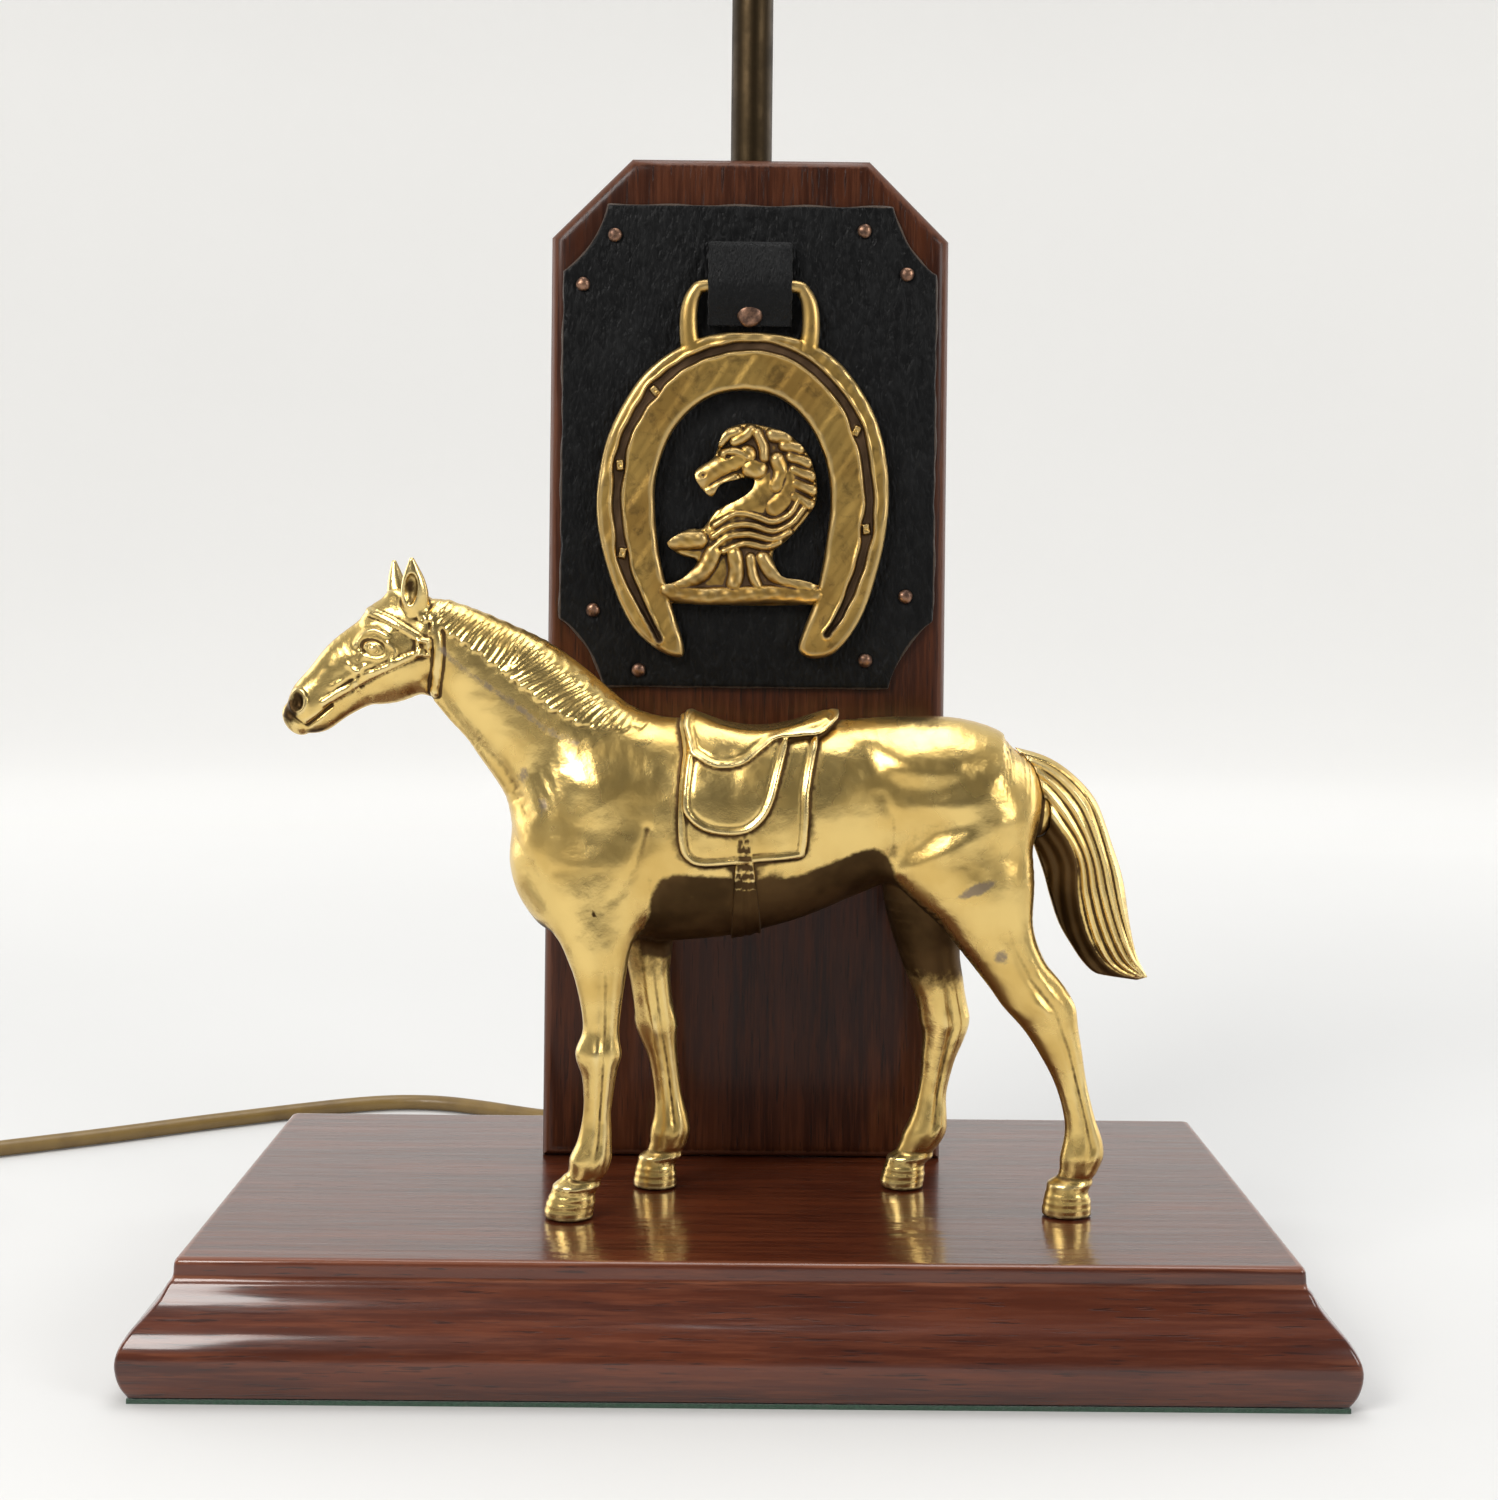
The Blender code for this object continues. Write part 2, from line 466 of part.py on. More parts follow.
SADDLE = [(-14.5, 142.0), (-16.0, 128.5), (-17.3, 114.0), (-12.5, 108.8), (-5.0, 106.6), (1.5, 107.6), (6.8, 113.4),
          (9.6, 122.0), (12.0, 131.0), (23.0, 134.0), (23.0, 142.0)]


def raised(stations):
    return [(x, y, TOP + z, a, b) for x, y, z, a, b in stations]


def saddle_layer(name, outline, grow):
    """A part of the trunk's surface, raised a little, inside an outline seen from the side."""
    layer = ring_solid(name, loft_rings(raised(TRUNK), 16, grow), POLISHED_BRASS, cutter=True)
    window = plate(name + "_window", [(x, TOP + z) for x, z in outline], HORSE_Y - 40, HORSE_Y + 40,
                   STEEL, cutter=True)
    boolean(layer, window, "INTERSECT")
    return layer


def make_horse():
    horse = ring_solid("horse_body", loft_rings(raised(TRUNK), 16), POLISHED_BRASS)
    for name, (stations, sides, flat) in LIMBS.items():
        limb = ring_solid(name + "_blank", loft_rings(raised(stations), sides, flat_end=flat), POLISHED_BRASS,
                          cutter=True)
        boolean(horse, limb, "UNION")
    boolean(horse, saddle_layer("saddle_cloth_blank", SADDLE_CLOTH, 0.9), "UNION")
    boolean(horse, saddle_layer("saddle_blank", SADDLE, 2.0), "UNION")
    holes = [bore((x, y, 0), HOOF_HOLE[1], TOP - 1, TOP + 9.4, sides=8) for x, y in HOOF_SCREWS]
    boolean(horse, many_cutters("hoof_holes", holes))

    tail = ring_solid("horse_tail", loft_rings(raised(TAIL), 14, flat_end=True), POLISHED_BRASS)
    for name, stations in (("rump_room", TRUNK), ("thigh_room", NEAR_HIND[:4])):
        room = ring_solid(name, loft_rings(raised(stations), 16, GAP + 0.25), STEEL, cutter=True)
        boolean(tail, room)


# ---------------------------------------------------------------- lamp tube and its fixing

def make_tube():
    wall = [(TUBE_RADIUS, 12.0), (TUBE_RADIUS, TUBE_TOP), (TUBE_BORE, TUBE_TOP), (TUBE_BORE, 12.0)]
    turned("lamp_tube", (0, TUBE_Y, 0), wall, DARK_BRASS, hollow=True)
    inner = TUBE_RADIUS + GAP
    washer = [(11.0, RECESS_ROOF - 1.6), (11.0, RECESS_ROOF - GAP), (inner, RECESS_ROOF - GAP), (inner, RECESS_ROOF - 1.6)]
    turned("tube_washer", (0, TUBE_Y, 0), washer, STEEL, hollow=True)
    hexagon = circle((0, TUBE_Y, 0), 10.2, "z", 6)
    rings = [[(x, y, z) for x, y, _ in hexagon] for z in (13.6, RECESS_ROOF - 1.9)]
    nut = ring_solid("tube_nut", rings, STEEL)
    boolean(nut, many_cutters("nut_hole", [bore((0, TUBE_Y, 0), inner, 10.0, 24.0, sides=28)]))


# ---------------------------------------------------------------- lampholder and bulb

HOLDER_BASE = TUBE_TOP - 10.0      # the cap reaches down over the tube's top
BARREL_BASE = HOLDER_BASE + 17.0
BARREL_TOP = BARREL_BASE + 46.0
BARREL_RADIUS, BARREL_BORE = 13.6, 11.9
SWITCH_HEIGHT = BARREL_BASE + 7.0
SWITCH_RADIUS = 2.6
CONTACT_SPREAD = 4.6
INSULATOR_TOP = BARREL_BASE + 21.0
PLUNGER_TOP = INSULATOR_TOP + 3.2


def make_holder():
    centre = (0, TUBE_Y, 0)
    inner = TUBE_RADIUS + GAP
    cap = [(8.6, HOLDER_BASE), (9.2, HOLDER_BASE + 1.0), (9.2, HOLDER_BASE + 6.0), (11.0, HOLDER_BASE + 9.0),
           (14.6, HOLDER_BASE + 12.5), (15.2, HOLDER_BASE + 14.0), (15.2, BARREL_BASE - GAP),
           (13.0, BARREL_BASE - GAP), (13.0, HOLDER_BASE + 13.0), (inner, HOLDER_BASE + 11.0), (inner, HOLDER_BASE)]
    turned("holder_cap", centre, cap, HOLDER_BRASS, hollow=True)

    barrel = [(15.2, BARREL_BASE), (15.2, BARREL_BASE + 13.5), (BARREL_RADIUS, BARREL_BASE + 15.5),
              (BARREL_RADIUS, BARREL_TOP - 0.8), (BARREL_RADIUS - 0.6, BARREL_TOP), (BARREL_BORE, BARREL_TOP),
              (BARREL_BORE, BARREL_BASE + 15.0), (13.4, BARREL_BASE + 13.2), (13.4, BARREL_BASE)]
    shell = turned("holder_barrel", centre, barrel, HOLDER_BRASS, hollow=True)
    slots = [bore((0, TUBE_Y, SWITCH_HEIGHT), SWITCH_RADIUS + GAP, -20.0, 20.0, axis="x")]
    boolean(shell, many_cutters("barrel_slots", slots))

    # Insulating block inside the barrel: it carries the switch bar and the two sprung contacts.
    block = [(2.0, BARREL_BASE + 1.0), (13.0, BARREL_BASE + 1.0), (13.0, BARREL_BASE + 12.8),
             (BARREL_BORE - GAP, BARREL_BASE + 14.8), (BARREL_BORE - GAP, INSULATOR_TOP), (2.0, INSULATOR_TOP)]
    insulator = turned("holder_insulator", centre, block, PHENOLIC, hollow=True)
    holes = [bore((0, TUBE_Y, SWITCH_HEIGHT), SWITCH_RADIUS + GAP, -20.0, 20.0, axis="x")]
    for side in (-1, 1):
        x = side * CONTACT_SPREAD
        holes.append(bore((x, TUBE_Y, 0), 2.3, INSULATOR_TOP - 9.5, INSULATOR_TOP + 1.0))
    boolean(insulator, many_cutters("insulator_holes", holes))

    for side, name in ((-1, "left"), (1, "right")):
        x = side * CONTACT_SPREAD
        plunger = [(1.9, INSULATOR_TOP - 3.0), (1.9, PLUNGER_TOP - 0.6), (1.4, PLUNGER_TOP)]
        turned(f"contact_{name}", (x, TUBE_Y, 0), plunger, HOLDER_BRASS, sides=14)
        turns, steps, low, high = 3, 8, INSULATOR_TOP - 9.0, INSULATOR_TOP - 3.6
        coil = []
        for k in range(turns * steps + 1):
            a = 2 * pi * k / steps
            coil.append((x + 1.6 * cos(a), TUBE_Y + 1.6 * sin(a), low + (high - low) * k / (turns * steps)))
        wire(f"spring_{name}", coil, 0.24, STEEL, resolution=1)

    bar = [(1.6, -21.0), (SWITCH_RADIUS, -20.0), (SWITCH_RADIUS, 14.5), (1.6, 15.5)]
    turned("switch_bar", (0, TUBE_Y, SWITCH_HEIGHT), bar, PHENOLIC, axis="x", sides=16)

    ring_low = BARREL_TOP - 17.0
    ring = [(19.0, ring_low), (19.5, ring_low + 0.8), (19.5, ring_low + 2.2), (16.4, ring_low + 3.0),
            (16.0, ring_low + 8.0), (BARREL_RADIUS + GAP, ring_low + 8.0), (BARREL_RADIUS + GAP, ring_low)]
    turned("shade_ring", centre, ring, HOLDER_BRASS, hollow=True)


def make_bulb():
    centre = (0, TUBE_Y, 0)
    cap_low = PLUNGER_TOP + GAP
    cap = [(4.0, cap_low), (9.5, cap_low + 0.4), (10.9, cap_low + 2.2), (10.9, cap_low + 24.0), (12.6, cap_low + 27.0)]
    turned("bulb_cap", centre, cap, ALUMINIUM)
    low, wall = cap_low + 27.3, 1.2
    shape = [(12.4, 0.0), (14.2, 9.0), (20.5, 22.0), (27.6, 36.0), (30.0, 48.0), (28.2, 61.0), (20.0, 73.5), (8.0, 79.0)]
    outside = [(radius, low + rise) for radius, rise in shape]
    inside = [(radius - wall, low + rise - (wall if rise > 48.0 else 0.0)) for radius, rise in reversed(shape)]
    turned("bulb_glass", centre, inside + outside, OPAL_GLASS)


# ---------------------------------------------------------------- wiring and mains lead

# Route of the lead, from inside the base, out at the back, along the surface and round to the coil.
LEAD_ROUTE = [(0.0, 70.0, 11.0), (0.0, 90.0, 11.0), (0.0, 110.0, 10.8), (-1.0, 124.0, 8.6), (-7.0, 142.5, 4.8),
              (-22.0, 161.5, 3.2), (-46.0, 177.0, 3.0), (-77.0, 189.3, 3.0), (-99.5, 200.8, 3.0), (-116.0, 207.3, 3.0),
              (-131.5, 208.6, 3.0), (-147.0, 205.0, 3.0), (-168.0, 194.9, 3.0), (-201.5, 176.0, 3.0),
              (-233.0, 156.6, 3.0), (-263.5, 139.4, 3.0), (-304.5, 117.2, 3.0)]
TAIL_ROUTE = [(-343.9, 50.2, 8.9), (-342.6, 45.0, 9.0), (-339.3, 39.0, 9.0), (-338.0, 34.9, 9.0)]


def make_lead():
    wire("flex_run", even_path(LEAD_ROUTE, 2.2 * 2 * FLEX_RADIUS), FLEX_RADIUS, GOLD_FLEX)
    ring = [(COIL_INNER + 1, 0.1), (COIL_OUTER - 1, 0.1), (COIL_OUTER, 1.5), (COIL_OUTER, COIL_TOP - 1.5),
            (COIL_OUTER - 1, COIL_TOP), (COIL_INNER + 1, COIL_TOP), (COIL_INNER, COIL_TOP - 1.5), (COIL_INNER, 1.5)]
    turned("flex_coil", (*COIL_CENTRE, 0), ring, GOLD_FLEX, hollow=True, sides=30)
    wire("flex_tail", even_path(TAIL_ROUTE, 5.0), FLEX_RADIUS, GOLD_FLEX)


def make_tie():
    """A strap over the coil's section, on its +X side, with a leg down each wall."""
    x, y = COIL_CENTRE
    half_width, thickness = 5.0, 1.2
    inner_x, outer_x = x + COIL_INNER - 2.6, x + COIL_OUTER + GAP + thickness
    roof = COIL_TOP + GAP
    tie = box("flex_tie", (inner_x, y - half_width, roof), (outer_x, y + half_width, roof + thickness), BLACK_PLASTIC)
    for name, low_x in (("inner", inner_x), ("outer", outer_x - thickness)):
        leg = box(f"tie_{name}_leg", (low_x, y - half_width, 0.6), (low_x + thickness, y + half_width, roof + 0.6),
                  BLACK_PLASTIC, cutter=True)
        boolean(tie, leg, "UNION")


def make_grommet():
    """Flanged, tapered strain relief in the back of the base."""
    hole = FLEX_RADIUS + GAP
    wall = [(4.5, 67.0), (4.5, 81.9), (7.0, 82.9), (7.0, 86.8), (4.9, 87.6), (4.1, 108.0), (hole, 108.0), (hole, 67.0)]
    turned("flex_grommet", (0, 0, EXIT_HEIGHT), wall, BLACK_PLASTIC, axis="y", sides=20, hollow=True)


def make_cores():
    """The two insulated cores, from the end of the sheath up the tube to the lampholder."""
    top = BARREL_BASE - 0.6
    for side, name, surface in ((-1, "core_live", CORE_BROWN), (1, "core_neutral", CORE_BLUE)):
        x = side * 1.5
        route = [(x, 69.6, 11.0), (x, 60.0, 8.6), (x, 47.5, 5.2), (x, TUBE_Y + 6.0, 5.4), (x, TUBE_Y + 0.8, 9.5),
                 (x, TUBE_Y, 16.0), (x, TUBE_Y, 30.0)]
        path = even_path(route, 4.0) + [Vector((x, TUBE_Y, z)) for z in (200.0, 360.0, top - 8.0)]
        path.append(Vector((side * 2.6, TUBE_Y, top - 0.8)))
        wire(name, path, 0.95, surface, resolution=1)


# ---------------------------------------------------------------- plug

PLUG_SPLIT = 8.3
PLUG_FACE = 20.0
PIN_ROWS = {"plug_pin_earth": (0.0, -11.0, 4.0, 22.7), "plug_pin_live": (-11.1, 11.0, 3.15, 17.7),
            "plug_pin_neutral": (11.1, 11.0, 3.15, 17.7)}


def plug_outline(inset):
    """Rounded shape of the plug seen from above, narrower at its earth-pin end."""
    corners = [(-19.0, 25.0), (0.0, 25.2), (19.0, 25.0), (24.2, 19.0), (24.4, 4.0), (20.5, -19.0), (13.0, -25.0),
               (0.0, -25.4), (-13.0, -25.0), (-20.5, -19.0), (-24.4, 4.0), (-24.2, 19.0)]
    shape = smooth_path(corners, 2, closed=True)
    return [(PLUG_CENTRE[0] + x * (1 - inset / 25), PLUG_CENTRE[1] + y * (1 - inset / 25)) for x, y in shape]


def plug_rings(rows):
    return [[(x, y, z) for x, y in plug_outline(inset)] for inset, z in rows]


def make_plug():
    px, py = PLUG_CENTRE
    body = ring_solid("plug_body", plug_rings([(0.0, PLUG_SPLIT), (0.0, PLUG_FACE - 1.5), (1.5, PLUG_FACE)]), BLACK_PLASTIC)
    cavity = ring_solid("plug_cavity", plug_rings([(3.0, PLUG_SPLIT - 1.0), (3.0, PLUG_FACE - 3.0)]), STEEL, cutter=True)
    boss = ring_solid("plug_boss", bore((px, py + 4.6, 0), 3.2, PLUG_SPLIT, PLUG_FACE - 2.0), STEEL, cutter=True)
    boolean(body, cavity)
    boolean(body, boss, "UNION")
    hole = bore((px, py + 4.6, 0), 1.4, PLUG_SPLIT - 1.0, PLUG_FACE - 5.0, sides=10)
    boolean(body, many_cutters("plug_boss_hole", [hole]))
    for name, (x, y, half, length) in PIN_ROWS.items():
        slot = box(name + "_slot", (px + x - half - GAP, py + y - 2 - GAP, PLUG_FACE - 4),
                   (px + x + half + GAP, py + y + 2 + GAP, PLUG_FACE + 1), STEEL, cutter=True)
        boolean(body, slot)
        pin = box(name, (px + x - half, py + y - 2, PLUG_FACE - 9.0), (px + x + half, py + y + 2, PLUG_FACE + length),
                  HOLDER_BRASS)
        tip = pin.modifiers.new("tip", "BEVEL")
        tip.width = 0.6 * MM
        tip.segments = 1

    cover = ring_solid("plug_cover", plug_rings([(1.5, 0.2), (0.0, 1.7), (0.0, PLUG_SPLIT - GAP)]), BLACK_PLASTIC)
    hollow = ring_solid("cover_cavity", plug_rings([(3.0, 3.0), (3.0, PLUG_SPLIT + 1.0)]), STEEL, cutter=True)
    cover_boss = ring_solid("cover_boss", bore((px, py + 4.6, 0), 3.6, 1.0, PLUG_SPLIT - GAP), STEEL, cutter=True)
    boolean(cover, hollow)
    boolean(cover, cover_boss, "UNION")
    screw_hole = stepped_bore((px, py + 4.6, 0), [(3.0, -1.0), (3.0, 3.0), (1.7, 3.0), (1.7, PLUG_SPLIT + 1.0)])
    boolean(cover, many_cutters("cover_screw_hole", [screw_hole]))
    turned("plug_screw", (px, py + 4.6, 0), [(2.6, 0.9), (2.6, 2.7), (1.1, 2.7), (1.1, PLUG_FACE - 6.0)], STEEL, sides=12)
    turned("plug_fuse", (px, py - 3.2, 13.0), [(3.15, -12.7), (3.15, 12.7)], ALUMINIUM, axis="x", sides=16)

    hole = FLEX_RADIUS + GAP
    entry = py + 26.0
    wall = [(5.6, 0.3), (4.0, 20.5), (hole, 20.5), (hole, 0.3)]
    turned("plug_sleeve", (px, entry, 9.0), wall, BLACK_PLASTIC, axis="y", sides=16, hollow=True)


# ---------------------------------------------------------------- build

make_base()
make_screws()
make_board()
make_plaque()
make_strap()
make_horse_brass()
make_horse()
make_tube()
make_holder()
make_bulb()
make_lead()
make_tie()
make_grommet()
make_cores()
make_plug()
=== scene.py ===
"""Looks of an equestrian table lamp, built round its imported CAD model.

Lengths are millimetres until MM turns them into metres. Angles are degrees until radians() turns them.
"""

from math import cos, pi, radians, sin, sqrt

import bmesh
import bpy
import numpy as np
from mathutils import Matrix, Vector


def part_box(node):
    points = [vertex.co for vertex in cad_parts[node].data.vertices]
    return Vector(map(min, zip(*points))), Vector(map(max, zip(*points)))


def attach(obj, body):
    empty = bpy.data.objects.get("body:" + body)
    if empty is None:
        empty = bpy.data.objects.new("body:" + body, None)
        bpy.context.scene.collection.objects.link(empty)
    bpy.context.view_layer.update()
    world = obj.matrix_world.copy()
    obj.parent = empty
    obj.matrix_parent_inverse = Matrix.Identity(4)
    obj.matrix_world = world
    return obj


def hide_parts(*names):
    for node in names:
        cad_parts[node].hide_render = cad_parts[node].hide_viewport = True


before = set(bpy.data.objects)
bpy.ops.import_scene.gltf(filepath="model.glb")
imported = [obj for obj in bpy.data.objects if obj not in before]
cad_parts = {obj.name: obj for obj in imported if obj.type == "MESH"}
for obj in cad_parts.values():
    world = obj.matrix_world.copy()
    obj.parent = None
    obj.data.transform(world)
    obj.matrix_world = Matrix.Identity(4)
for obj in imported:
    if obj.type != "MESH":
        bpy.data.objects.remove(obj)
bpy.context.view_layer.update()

MM = 0.001


def node_box(name):
    low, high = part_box(name)
    return np.array(low) / MM, np.array(high) / MM


TOP = round(float(node_box("base_board")[1][2]), 2)          # top of the base
BOARD_LOW, BOARD_HIGH = node_box("back_board")
TUBE_LOW, TUBE_HIGH = node_box("lamp_tube")
TUBE_Y = float(TUBE_LOW[1] + TUBE_HIGH[1]) / 2
HORSE_Y = -19.0                                              # the horse's middle plane
FLEX_DIAMETER = 5.6


# ---------------------------------------------------------------- paths

def smooth_path(points, steps, closed=False):
    """Catmull-Rom curve through given points of any dimension."""
    count = len(points)
    spans = count if closed else count - 1
    path = []
    for i in range(spans):
        if closed:
            p = [points[(i + k) % count] for k in (-1, 0, 1, 2)]
        else:
            p = [points[min(max(i + k, 0), count - 1)] for k in (-1, 0, 1, 2)]
        for s in range(steps):
            t = s / steps
            path.append(tuple(
                0.5 * (2 * b + (c - a) * t + (2 * a - 5 * b + 4 * c - d) * t ** 2 + (3 * b - a - 3 * c + d)
                       * t ** 3)
                for a, b, c, d in zip(*p)))
    if not closed:
        path.append(tuple(points[-1]))
    return path


def even_path(points, spacing):
    """Points a set distance apart along a smooth curve through the given points."""
    dense = np.array(smooth_path(points, 24), float)
    spans = np.linalg.norm(np.diff(dense, axis=0), axis=1)
    walked = np.concatenate([[0.0], np.cumsum(spans)])
    count = max(2, round(walked[-1] / spacing))
    goals = np.linspace(0.0, walked[-1], count + 1)
    return np.stack([np.interp(goals, walked, dense[:, k]) for k in range(dense.shape[1])], axis=1)


# ---------------------------------------------------------------- camera

LENS, SENSOR = 50.9, 36.0
CAMERA_PLACE = (-0.0019, -0.6216, 0.2149)                    # metres
CAMERA_YAW, CAMERA_ROLL = -0.32, 0.6                         # degrees
CAMERA_SHIFT = (-0.0025, -0.124)


def make_camera():
    data = bpy.data.cameras.new("camera")
    data.lens = LENS
    data.sensor_width = SENSOR
    data.shift_x, data.shift_y = CAMERA_SHIFT
    camera = bpy.data.objects.new("camera", data)
    bpy.context.scene.collection.objects.link(camera)
    camera.location = CAMERA_PLACE
    camera.rotation_euler = (radians(90.0), 0.0, radians(CAMERA_YAW))
    camera.rotation_euler.rotate_axis("Z", radians(CAMERA_ROLL))
    bpy.context.scene.camera = camera


make_camera()
bpy.context.scene.view_settings.view_transform = "Standard"


# ---------------------------------------------------------------- material building blocks

def new_material(name):
    """A material with its node tree and its one Principled shader."""
    made = bpy.data.materials.new(name)
    made.use_nodes = True
    tree = made.node_tree
    return made, tree, tree.nodes["Principled BSDF"]


def feed(tree, socket, value):
    """Link a socket to another one, or set it to a number, a vector or an opaque colour."""
    if isinstance(value, bpy.types.NodeSocket):
        tree.links.new(value, socket)
    elif isinstance(value, tuple) and len(socket.default_value) == len(value) + 1:
        socket.default_value = (*value, 1.0)
    else:
        socket.default_value = value


def dress(tree, shader, **sockets):
    """Feed the shader's sockets; a low line in a name stands for a space."""
    for name, value in sockets.items():
        feed(tree, shader.inputs[name.replace("_", " ")], value)


def add(tree, kind, inputs=None, **settings):
    """A node; each input is a socket to link or a value to set."""
    made = tree.nodes.new(kind)
    for name, value in settings.items():
        setattr(made, name, value)
    for name, value in (inputs or {}).items():
        feed(tree, made.inputs[name], value)
    return made


def place(tree, scale=(1, 1, 1), turn=(0, 0, 0)):
    """The object's own coordinates, in metres, stretched and turned."""
    coordinates = add(tree, "ShaderNodeTexCoord").outputs["Object"]
    inputs = {"Vector": coordinates, "Scale": scale, "Rotation": turn}
    return add(tree, "ShaderNodeMapping", inputs).outputs["Vector"]


def noise(tree, vector, scale, detail=3.0, rough=0.55, distortion=0.0):
    inputs = {"Vector": vector, "Scale": scale, "Detail": detail, "Roughness": rough,
              "Distortion": distortion}
    return add(tree, "ShaderNodeTexNoise", inputs).outputs["Fac"]


def ramp(tree, value, low, high, to_low=0.0, to_high=1.0):
    """Smooth step of a value between two limits."""
    inputs = {"Value": value, "From Min": low, "From Max": high, "To Min": to_low, "To Max": to_high}
    return add(tree, "ShaderNodeMapRange", inputs, interpolation_type="SMOOTHSTEP").outputs["Result"]


def math(tree, operation, a, b):
    made = add(tree, "ShaderNodeMath", operation=operation)
    feed(tree, made.inputs[0], a)
    feed(tree, made.inputs[1], b)
    return made.outputs[0]


def times(tree, a, b):
    return math(tree, "MULTIPLY", a, b)


def plus(tree, a, b):
    return math(tree, "ADD", a, b)


def minus(tree, a, b):
    return math(tree, "SUBTRACT", a, b)


def mix(tree, factor, a, b):
    """Mix of two colours, each a socket or a tuple."""
    made = add(tree, "ShaderNodeMix", data_type="RGBA")
    for number, value in ((0, factor), (6, a), (7, b)):
        feed(tree, made.inputs[number], value)
    return made.outputs[2]


def attribute(tree, name):
    return add(tree, "ShaderNodeAttribute", attribute_name=name).outputs["Fac"]


def bump(tree, height, distance, strength=1.0, normal=None):
    inputs = {"Height": height, "Distance": distance, "Strength": strength}
    if normal is not None:
        inputs["Normal"] = normal
    return add(tree, "ShaderNodeBump", inputs).outputs["Normal"]


# ---------------------------------------------------------------- materials

RUBBED_GREY = (0.25, 0.195, 0.15)
LEATHER_BLACK, LEATHER_GREY = (0.0028, 0.0029, 0.0031), (0.0065, 0.0067, 0.0070)
LEATHER_RUBBED, LEATHER_CUT = (0.011, 0.0112, 0.0115), (0.085, 0.062, 0.047)


def brass_material(name, bright, shade, patina, rim, roughness, waves, patina_reach=1.0, mottle=0.0):
    """Cast brass: polished on what stands proud, brown in the hollows and wherever its paint layer carries
    patina, dirt and painted shade, with a slightly uneven surface.
    """
    made, tree, shader = new_material(name)
    where = place(tree)
    cavity, dull, worn = (attribute(tree, layer) for layer in ("cavity", "dull", "worn"))
    cloud = noise(tree, where, 55.0, 3.0, 0.55)
    fine = noise(tree, where, 1100.0, 4.0, 0.65)
    speck = noise(tree, where, 420.0, 5.0, 0.7)
    tint = mix(tree, ramp(tree, cloud, 0.36, 0.68), bright, shade)
    stain = ramp(tree, noise(tree, where, 190.0, 5.0, 0.68, 0.4), 0.50, 0.70, 0.0, mottle)
    tint = mix(tree, stain, tint, patina)
    around = times(tree, minus(tree, speck, 0.5), 0.45)
    in_hollow = ramp(tree, plus(tree, times(tree, cavity, patina_reach), around), 0.06, 0.50)
    # darker where the paint layer asks: patina, dirt in grooves, and painted shade
    unpolished_and_shaded = ramp(tree, plus(tree, dull, times(tree, around, 1.3)), 0.30, 0.72)
    spots = times(tree, ramp(tree, speck, 0.71, 0.77), 0.4 + mottle)
    dark = math(tree, "MAXIMUM", math(tree, "MAXIMUM", in_hollow, unpolished_and_shaded), spots)
    patina = mix(tree, ramp(tree, cloud, 0.35, 0.65), patina, tuple(2.0 * c for c in patina))
    # convex places take the paler rim colour: rubbed polish, and a painted highlight
    proud = ramp(tree, minus(tree, 0.0, cavity), 0.22, 0.60, 0.0, 0.6)
    coloured = mix(tree, dark, mix(tree, proud, tint, rim), patina)
    rubbed = ramp(tree, plus(tree, worn, times(tree, around, 1.6)), 0.35, 0.62, 0.0, 0.85)
    rough = ramp(tree, cloud, 0.3, 0.7, roughness - 0.03, roughness + 0.05)
    rough = plus(tree, times(tree, dark, 0.26), rough)
    rough = plus(tree, rough, times(tree, rubbed, 0.14))
    first = bump(tree, noise(tree, where, 75.0, 2.0, 0.5), 0.0016 * waves, 0.5)
    second = bump(tree, noise(tree, where, 260.0, 3.0, 0.55), 0.00022 * waves, 0.5, first)
    dress(tree, shader, Base_Color=mix(tree, rubbed, coloured, RUBBED_GREY), Roughness=rough, Metallic=1.0,
          Normal=bump(tree, fine, 0.00007, 0.5, second))
    return made


def wood_material(name, along, tones, worn, lacquer):
    """Dark varnished mahogany with its grain along an axis: streaks, short pores, red-brown light areas."""
    made, tree, shader = new_material(name)
    stretch = [1.0, 1.0, 1.0]
    stretch["xyz".index(along)] = 0.055
    where = place(tree, tuple(stretch))
    bands = noise(tree, where, 120.0, 4.0, 0.6, 0.4)
    streaks = noise(tree, where, 620.0, 4.0, 0.65)
    pores = noise(tree, where, 1500.0, 2.0, 0.5)
    patches = noise(tree, place(tree), 16.0, 2.0, 0.5)
    deep, middle, light, pore_dark = tones
    base = mix(tree, ramp(tree, bands, 0.35, 0.68), deep, middle)
    base = mix(tree, ramp(tree, streaks, 0.42, 0.66, 0.0, 0.55), base, light)
    base = mix(tree, ramp(tree, patches, 0.40, 0.70, 0.0, 0.45), base, deep)
    pore = ramp(tree, pores, 0.60, 0.70)
    base = mix(tree, times(tree, pore, 0.7), base, pore_dark)
    uneven = times(tree, minus(tree, streaks, 0.5), 0.9)
    rub = ramp(tree, plus(tree, attribute(tree, "edge"), uneven), 0.45, 0.85, 0.0, 0.62)
    grooves = minus(tree, streaks, times(tree, pore, 0.8))
    swell = plus(tree, noise(tree, where, 260.0, 2.0, 0.5), times(tree, patches, 0.6))
    dress(tree, shader, Base_Color=mix(tree, rub, base, worn),
          Roughness=ramp(tree, streaks, 0.3, 0.7, 0.30, 0.42),
          Specular_IOR_Level=0.16, Coat_Weight=lacquer, Coat_Roughness=0.14, Coat_IOR=1.5,
          Normal=bump(tree, grooves, 0.00012, 0.55), Coat_Normal=bump(tree, swell, 0.0003, 0.6))
    return made


